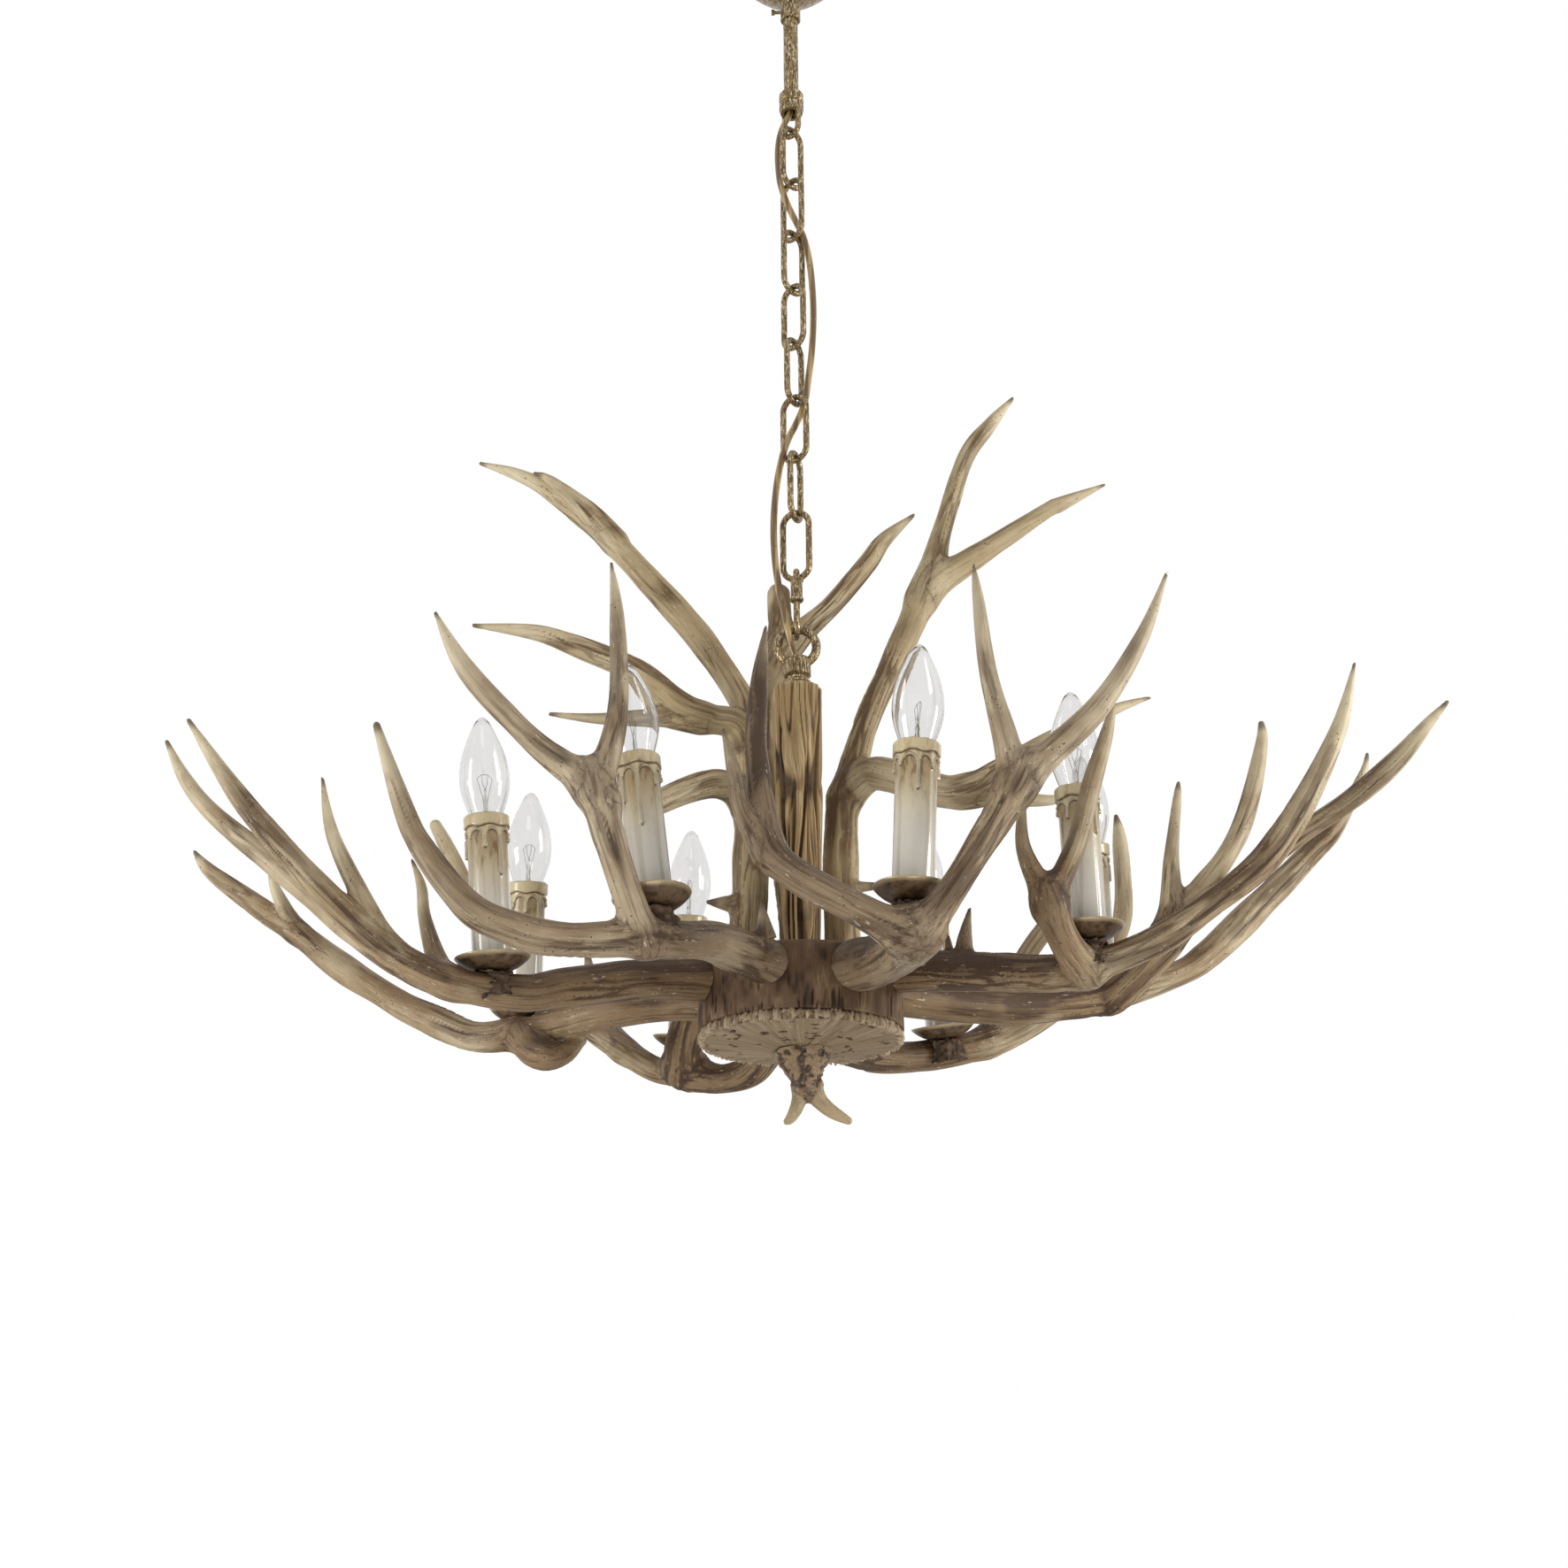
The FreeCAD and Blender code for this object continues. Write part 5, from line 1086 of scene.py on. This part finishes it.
# ------------------------------------------------------------------------------------------- operators
class ChandelierStage(bpy.types.Operator):
    """Sets the camera, the floor, the backdrop and the lamps"""
    bl_idname = "chandelier.stage"
    bl_label = "Stage"

    def execute(self, context):
        scene = context.scene
        data = bpy.data.cameras.new("camera")
        data.sensor_width = 36
        data.lens = CAMERA_LENS
        camera = bpy.data.objects.new("camera", data)
        camera.location = (CAMERA_ACROSS, CAMERA_BACK, DRUM_LOW.z - CAMERA_BELOW)
        pitch = Matrix.Rotation(math.radians(CAMERA_PITCH), 3, "X")
        camera.rotation_euler = (pitch @ Matrix.Rotation(math.radians(CAMERA_ROLL), 3, "Z")).to_euler()
        scene.collection.objects.link(camera)
        scene.camera = camera
        scene.view_settings.view_transform = "Standard"
        self.backdrop(scene)
        self.floor()
        self.lamps(scene)
        return {"FINISHED"}

    def backdrop(self, scene):
        """White where it is seen, mirrored or seen through glass, and soft light for all else."""
        scene.world = bpy.data.worlds.new("soft_studio")
        scene.world.use_nodes = True
        shading = Shading(scene.world.node_tree)
        shading.nodes.clear()
        camera, glass, mirror = (shading.node("ShaderNodeLightPath", {}, out=ray) for ray in
                                 ("Is Camera Ray", "Is Transmission Ray", "Is Glossy Ray"))
        seen = camera.math("MAXIMUM", camera.math("MAXIMUM", camera, glass), mirror)
        soft = shading.node("ShaderNodeBackground", {}, SKY_COLOUR, look().light_strength)
        white = shading.node("ShaderNodeBackground", {}, (1, 1, 1, 1), 1.0)
        mixed = shading.node("ShaderNodeMixShader", {}, seen, soft, white)
        shading.feed(shading.nodes.new("ShaderNodeOutputWorld").inputs["Surface"], mixed)

    def floor(self):
        bpy.ops.mesh.primitive_plane_add(size=FLOOR_SIZE, location=(0, 0, DRUM_LOW.z - FLOOR_BELOW))
        floor = bpy.context.active_object
        floor.name = floor.data.name = "studio_floor"
        pale = Finish("studio_floor").set(Base_Color=(0.86, 0.86, 0.86, 1), Roughness=0.8)
        floor.data.materials.append(pale)

    def lamps(self, scene):
        """Square lamps: each one's place, the point it faces, its width and its share of the power."""
        for name, place, aim, size, share in (
                ("key_softbox", (-2.1, -0.9, -1.1), (0, 0, -0.85), 0.9, 0.78),
                ("low_fill", (0.3, -1.5, -2.3), (0, 0, -0.9), 1.2, 0.34),
                ("side_softbox", (2.1, -0.5, -0.7), (0, 0, -0.85), 0.8, 1.0)):
            data = bpy.data.lights.new(name, "AREA")
            data.energy = look().key_power * share
            data.color = LAMP_COLOUR
            data.size = size
            lamp = bpy.data.objects.new(name, data)
            lamp.location = place
            lamp.rotation_euler = (Vector(aim) - Vector(place)).to_track_quat("-Z", "Y").to_euler()
            scene.collection.objects.link(lamp)


class ChandelierCord(bpy.types.Operator):
    """Threads the feed cord down the chain into the ring, in stretches cut halfway between the joints it passes"""
    bl_idname = "chandelier.cord"
    bl_label = "Feed cord"

    def execute(self, context):
        joints = {joint["name"]: joint for joint in frame["joints"]}
        crossed = [joints[name] for name in CORD_JOINTS]
        heights = [joint["pos_m"][2] for joint in crossed]
        middles = [(upper + lower) / 2 for upper, lower in zip(heights, heights[1:])]
        line = self.with_points_at(self.route(), middles)
        cuts = [line[0, 2]] + middles + [line[-1, 2]]
        rings = tube_rings(line, CORD_DIAMETER / 2, CORD_SIDES)
        jacket = cord_finish("cord_jacket")
        for number, joint in enumerate(crossed):
            inside = (line[:, 2] <= cuts[number] + ROUNDING) & (line[:, 2] >= cuts[number + 1] - ROUNDING)
            piece = new_piece("feed_cord_{}".format(number + 1), tube_mesh(rings[inside]))
            piece.data.materials.append(jacket)
            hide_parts("feed_cord")
            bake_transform(piece)
        return {"FINISHED"}

    def route(self):
        """The cord's smooth line from the stem down into the ring, as points."""
        curve = bpy.data.curves.new("feed_cord_route", "CURVE")
        curve.dimensions = "3D"
        curve.resolution_u = 12
        spline = curve.splines.new("NURBS")
        spline.points.add(len(CORD_ROUTE) - 1)
        for point, (across, back, drop) in zip(spline.points, CORD_ROUTE):
            point.co = (across * MM, back * MM, CORD_TOP - drop * MM, 1)
        spline.order_u = 3
        spline.use_endpoint_u = True
        mesh = mesh_of_line(curve)
        points = read_vectors(mesh, "co")
        bpy.data.meshes.remove(mesh)
        return points

    def with_points_at(self, line, heights):
        """The line with a point more at each height."""
        for height in heights:
            after = int(np.argmax(line[:, 2] < height))
            above, below = line[after - 1], line[after]
            share = (above[2] - height) / (above[2] - below[2])
            line = np.insert(line, after, above + (below - above) * share, axis=0)
        return line


class ChandelierAntlers(bpy.types.Operator):
    """Grows the grooved skin of every antler over its solid"""
    bl_idname = "chandelier.antlers"
    bl_label = "Antlers"

    def execute(self, context):
        # The last number of each antler finish scales its painted shade round the hub.
        grey = antler_finish("antler_grey", tuple(look().grey_antler), srgb(64, 45, 30),
                             srgb(214, 201, 173), 1.0)
        tan = antler_finish("antler_tan", tuple(look().tan_antler), srgb(92, 68, 42),
                            srgb(228, 216, 186), 0.35)
        brown = antler_finish("antler_brown", tuple(look().brown_antler), srgb(64, 43, 28),
                              srgb(220, 207, 176), 1.2)
        for antlers, place_of, keep_clear, first_seed in ((SIDE_ANTLERS, side_place, clear_of_drum, 1),
                                                          (TOP_ANTLERS, crown_place, above_drum, 401)):
            for number, (name, antler) in enumerate(antlers.items()):
                place = place_of(antler["heading"])
                limbs = [Limb(circles, place) for circles in antler["limbs"].values()]
                piece = grown_piece(name + "_skin", name, limbs, keep_clear, look().antler_voxel,
                                    31 * number + first_seed)
                front = grey if name.startswith("antler_front") else brown
                dress(piece, tan if antlers is TOP_ANTLERS else front, "fixture", name)
        return {"FINISHED"}


class ChandelierHub(bpy.types.Operator):
    """Models the barked column, the drum, the rough bottom plate and the forked stub under it"""
    bl_idname = "chandelier.hub"
    bl_label = "Column and hub"

    def execute(self, context):
        for piece, node, middle, dark, pale, across, along in (
                (self.column(), "column", (156, 130, 92), (58, 40, 27), (206, 188, 148), 300, 14),
                (self.drum(), "hub_drum", (102, 80, 60), (34, 22, 15), (166, 142, 112), 1100, 60),
                (self.plate(), "bottom_plate", (146, 127, 102), (52, 37, 26), (204, 188, 162), 900, 60)):
            bark = bark_finish(piece.name, srgb(*middle), srgb(*dark), srgb(*pale), across, along)
            dress(piece, bark, "fixture", node)
        dress(self.finial(), stub_finish("finial_horn"), "fixture", "finial")
        return {"FINISHED"}

    def column(self):
        """A weathered log: broad flats, deep cracks down its length and a broken chamfer on top."""
        low, high, bore = COLUMN_LOW.z, COLUMN_HIGH.z, 0.006
        levels = np.linspace(low, high - 0.0035, 200)
        radii = 0.0150 + 0.0040 * (levels - low) / (high - low)
        outline = [(bore, low)] + list(zip(radii, levels))
        outline += [(0.0172, high - 0.0006), (0.0160, high), (bore, high)]
        piece = turned("column_bark", outline, 200)
        points = read_vectors(piece.data, "co")
        angle, circle, reach = polar(points)
        up = points[:, 2]
        lean = 0.8 * noise(wrapped(circle, 1.2, up, 0.08), 5)
        around = np.stack([np.cos(angle + lean), np.sin(angle + lean)], 1)
        flats = noise(wrapped(around, 1.5, up, 0.11), 3)
        cracks = smooth_step(1 - ridges(wrapped(around, 2.6, up, 0.12), 8), 0.76, 0.97)
        clefts = smooth_step(1 - ridges(wrapped(around, 5.5, up, 0.07), 9), 0.82, 0.98)
        plates = noise(wrapped(around, 3.2, up, 0.03), 11)
        fine = noise(wrapped(around, 15, up, 0.03), 14)
        height = 0.0042 * (flats - 0.62) - 0.0030 * cracks - 0.0012 * clefts
        height += 0.0014 * (plates - 0.5) + 0.0005 * (fine - 0.5)
        reach = np.minimum(reach + height * (reach > 0.009), COLUMN_HIGH.x - 0.0002)
        ragged = noise(wrapped(around, 3, reach, 0.004), 15)
        rim = smooth_step(up, high - 0.006, high - 0.001) * smooth_step(reach, 0.010, 0.016)
        up = up - 0.0032 * rim * ragged
        write_points(piece.data, np.column_stack([circle * reach[:, None], up]))
        write_vector(piece.data, "grain", np.column_stack([around * 0.0185, up]))
        tone = 0.80 - 0.75 * cracks - 0.40 * clefts + 0.5 * (plates - 0.5) + 0.35 * rim
        dark_foot = 0.40 * (1 - smooth_step(up, low + 0.01, low + 0.13))
        write_number(piece.data, "groove", np.clip(tone - dark_foot, 0, 1))
        return piece

    def drum(self):
        """A leathery wall, smooth above and finely cracked below, with a few gouges."""
        low, high = DRUM_LOW.z, DRUM_HIGH.z
        inner, edge = DRUM_RADIUS - 0.005, DRUM_RADIUS - 0.0006
        outline = [(inner, high - 0.006), (inner, low), (edge, low)]
        outline += [(DRUM_RADIUS, level) for level in np.linspace(low + 0.0005, high - 0.002, 60)]
        outline += [(edge, high - 0.0006), (DRUM_RADIUS - 0.002, high)]
        outline += [(radius, high) for radius in np.linspace(0.068, CORE_RADIUS, 14)]
        outline += [(CORE_RADIUS, high - 0.006)]
        piece = turned("drum_bark", outline, 520)
        points = read_vectors(piece.data, "co")
        _, circle, reach = polar(points)
        up = points[:, 2]
        lines = 1 - ridges(wrapped(circle, 30, up, 0.05), 21)
        broken = noise(wrapped(circle, 12, up, 0.012), 22)
        share = smooth_step(high - up, 0.010, 0.034)
        cuts = smooth_step(lines, 0.80, 0.98) * share * smooth_step(broken, 0.3, 0.6)
        swell = noise(wrapped(circle, 5, up, 0.02), 23) - 0.5
        lumps = noise(wrapped(circle, 14, up, 0.008), 25) - 0.5
        height = -0.0012 * cuts + 0.0016 * (swell - 0.3) + 0.0004 * lumps
        outside = reach > DRUM_RADIUS - 0.0015
        reach = reach + np.minimum(height, 0) * outside
        write_points(piece.data, np.column_stack([circle * reach[:, None], up]))
        write_vector(piece.data, "grain", np.column_stack([circle * DRUM_RADIUS, up]))
        write_number(piece.data, "groove", np.clip(0.66 - 0.66 * cuts + 0.6 * swell + 0.5 * lumps, 0, 1))
        return piece

    def plate(self):
        """A shallow cone with fine rays and pits, and a rim of small knobs like an antler's burr."""
        low, high, out, hub = PLATE_LOW.z, PLATE_HIGH.z, PLATE_HIGH.x, 0.022
        radii = np.concatenate([[CORE_RADIUS], np.linspace(0.010, out - 0.0008, 96)])
        cone = low + np.maximum(radii - hub, 0) / (out - hub) * (high - low - 0.006)
        outline = [(CORE_RADIUS, high)] + list(zip(radii, cone))
        outline += [(out, high - drop) for drop in (0.005, 0.004, 0.003, 0.002)]
        outline += [(out - 0.001, high), (0.060, high)]
        piece = turned("plate_bark", outline, 720)
        points = read_vectors(piece.data, "co")
        _, circle, reach = polar(points)
        up = points[:, 2]
        rays = 0.5 * noise(wrapped(circle, 22, reach, 0.030), 31)
        rays += 0.5 * noise(wrapped(circle, 52, reach, 0.022), 33)
        under = (up < high - 0.003) & (reach < out - 0.003)
        pits = self.pits(points)
        knob = 0.55 * noise(wrapped(circle, 36, reach, 0.0022), 37)
        knob = smooth_step(knob + 0.45 * noise(wrapped(circle, 64, up, 0.0014), 38), 0.32, 0.68)
        rim = smooth_step(reach, out - 0.0062, out - 0.0030)
        grown = reach + rim * (knob - 1) * 0.0030
        drop = np.where(under, (rays - 0.5) * 0.0011 - 0.0020 * pits, 0)
        drop = drop + rim * (knob - 0.45) * 0.0034 * (up < high - 0.0015)
        write_points(piece.data, np.column_stack([circle * grown[:, None], np.clip(up - drop, low, high)]))
        write_vector(piece.data, "grain", np.column_stack([circle * 0.05, reach]))
        tone = 0.62 + (rays - 0.5) * 0.8 - 0.9 * pits + rim * (knob - 0.35) * 0.7
        write_number(piece.data, "groove", np.clip(tone, 0, 1))
        return piece

    def pits(self, points):
        """Small ragged pits, wider round the plate than along its rays."""
        rng = np.random.default_rng(9)
        deep = np.zeros(len(points))
        for _ in range(64):
            turn, far = rng.uniform(0, 2 * math.pi), rng.uniform(0.028, 0.069)
            centre = np.array([math.cos(turn), math.sin(turn)])
            offset = points[:, :2] - centre * far
            wide = rng.uniform(0.0009, 0.0022)
            along, across = offset @ centre, offset @ np.array([-centre[1], centre[0]])
            deep = np.maximum(deep, bell(along, wide) * bell(across, wide * 1.8))
        ragged = 0.5 + noise(points / 0.0014, 41)
        return smooth_step(deep * ragged, 0.25, 0.75)

    def finial(self):
        """The forked stub under the plate, lumpy above and smooth on its two tips."""
        place = Matrix.Translation((0, 0, PLATE_LOW.z))
        limbs = [Limb([(x, y, z, radius + FINIAL_SKIN) for x, y, z, radius in circles], place)
                 for circles in FINIAL_LIMBS.values()]
        piece = grown_piece("finial_skin", "finial", limbs, below_plate, 0.0009, 901, 0.35)
        points, normals = read_vectors(piece.data, "co"), read_vectors(piece.data, "normal")
        drop = PLATE_LOW.z - points[:, 2]
        rough = (1 - smooth_step(drop, 0.020, 0.036)) * smooth_step(drop, 0.0005, 0.002)
        lumps = noise(points / 0.0050, 77) * 0.6 + noise(points / 0.0026, 79) * 0.4
        lumps = smooth_step(lumps, 0.30, 0.66)
        write_points(piece.data, points + normals * (rough * (lumps - 0.85) * 0.0022)[:, None])
        groove = piece.data.attributes["groove"].data
        tone = np.empty(len(points))
        groove.foreach_get("value", tone)
        groove.foreach_set("value", (tone * (1 - rough) + rough * lumps * 0.9).astype(np.float32))
        return piece


class ChandelierCandles(bpy.types.Operator):
    """Models the dripped candle sleeves, the dishes and the rough bases under them"""
    bl_idname = "chandelier.candles"
    bl_label = "Candle sleeves and dishes"

    def execute(self, context):
        wax = candle_finish("candle_wax")
        bronze = dish_finish("dish_bronze")
        for number, place in enumerate(candle_places(), start=1):
            dress(sleeve_piece(number, place), wax, "fixture", "candle_sleeves")
            dress(self.dish(number, place), bronze, "fixture", "drip_dishes")
        rough = bark_finish("burr_rough", srgb(112, 92, 74), srgb(56, 42, 32), srgb(150, 130, 106), 300, 120)
        dress(self.burrs(), rough, "fixture", "burr_bases")
        return {"FINISHED"}

    def dish(self, number, place):
        """A shallow drip dish with a rolled rim."""
        outline = [(radius * MM, height * MM) for radius, height in DISH_OUTLINE]
        piece = turned("drip_dish_{}".format(number), outline, 72)
        reach = polar(read_vectors(piece.data, "co"))[2]
        # The rim band that the finish paints as a highlight.
        write_number(piece.data, "edge", smooth_step(reach, *DISH_HIGHLIGHT_BAND))
        piece.data.transform(place)
        return piece

    def burrs(self):
        """The rough burrs that the dishes stand on, all in one piece as their solid is."""
        piece = skinned_copy("burr_bases_rough", "burr_bases", 0.0012)
        points, normals = read_vectors(piece.data, "co"), read_vectors(piece.data, "normal")
        lumps = ridges(points / 0.0060, 51) * 0.6 + ridges(points / 0.0030, 53) * 0.4
        write_points(piece.data, points + normals * ((lumps - 0.85) * 0.0036)[:, None])
        write_vector(piece.data, "grain", points)
        write_number(piece.data, "groove", lumps)
        return piece


class ChandelierBulbs(bpy.types.Operator):
    """Blows the eight candle bulbs and hangs their filaments"""
    bl_idname = "chandelier.bulbs"
    bl_label = "Bulbs"

    def execute(self, context):
        glass = glass_finish("bulb_clear_glass")
        wire = Finish("bulb_filament").set(Base_Color=srgb(92, 86, 80), Metallic=1.0, Roughness=0.4)
        for number, place in enumerate(candle_places(), start=1):
            body, top = "bulb_{}".format(number), place @ Matrix.Translation((0, 0, SLEEVE_TOP))
            envelope = self.blown("bulb_envelope_{}".format(number), self.walled(BULB_OUTLINE), 56, top)
            dress(envelope, glass, body, "bulb_glass_{}".format(number))
            mount = self.blown("bulb_mount_{}".format(number), MOUNT_OUTLINE, 24, top)
            dress(mount, glass, body)
            dress(self.filament(number, top), wire, body)
        return {"FINISHED"}

    def walled(self, outline):
        """A bulb's outline up to its tip and back down inside its wall."""
        inner = [(max(radius - BULB_WALL, 0), height - (BULB_WALL if height > BULB_TIP else 0))
                 for radius, height in reversed(outline)]
        return outline + inner

    def blown(self, name, outline, segments, place):
        piece = turned(name, [(radius * MM, height * MM) for radius, height in outline], segments)
        piece.data.transform(place)
        return piece

    def filament(self, number, place):
        """Two lead wires, a fine coil across them and two short supports."""
        curve = bpy.data.curves.new("bulb_wire", "CURVE")
        curve.dimensions = "3D"
        curve.bevel_depth = WIRE_RADIUS
        curve.bevel_resolution = 1
        for run in FILAMENT_RUNS:
            spline = curve.splines.new("POLY")
            spline.points.add(len(run) - 1)
            for point, spot in zip(spline.points, run):
                point.co = (*(Vector(spot) * MM), 1)
        mesh = mesh_of_line(curve)
        mesh.transform(place)
        return new_piece("bulb_filament_{}".format(number), mesh)


class ChandelierFinishes(bpy.types.Operator):
    """Gives the turned, bent and cut metal pieces their finishes"""
    bl_idname = "chandelier.finishes"
    bl_label = "Metal finishes"

    def execute(self, context):
        by_slot = {
            "brass": aged_brass_finish("aged_brass"),
            "steel": plain_metal_finish("zinc_steel", srgb(170, 170, 172), 0.35),
            "cap_metal": plain_metal_finish("bulb_cap_metal", srgb(206, 196, 168), 0.25),
            "socket_shell": moulded_finish("socket_shell", srgb(48, 44, 40), 0.5),
            "cord_jacket": cord_finish("cord_jacket_inside"),
        }
        for row in frame["record"]["subparts"]:
            if row["material_slot"] in by_slot:
                for slot in frame["nodes"][row["node"]].material_slots:
                    slot.material = by_slot[row["material_slot"]]
        return {"FINISHED"}


class ChandelierPanel(bpy.types.Panel):
    """Lists the chandelier's steps"""
    bl_idname = "VIEW3D_PT_chandelier"
    bl_label = "Chandelier"
    bl_space_type = "VIEW_3D"
    bl_region_type = "UI"
    bl_category = "Chandelier"

    def draw(self, context):
        for name in ChandelierLook.__annotations__:
            self.layout.prop(look(), name)
        for step in STEPS:
            self.layout.operator(step.bl_idname)


STEPS = (ChandelierStage, ChandelierCord, ChandelierAntlers, ChandelierHub, ChandelierCandles,
         ChandelierBulbs, ChandelierFinishes)
CLASSES = (ChandelierLook,) + STEPS + (ChandelierPanel,)


def register():
    for one in CLASSES:
        bpy.utils.register_class(one)
    bpy.types.Scene.chandelier_look = bpy.props.PointerProperty(type=ChandelierLook)


def unregister():
    del bpy.types.Scene.chandelier_look
    for one in reversed(CLASSES):
        bpy.utils.unregister_class(one)


def main():
    register()
    for step in STEPS:
        group, name = step.bl_idname.split(".")
        getattr(getattr(bpy.ops, group), name)()


if __name__ == "__main__":
    main()
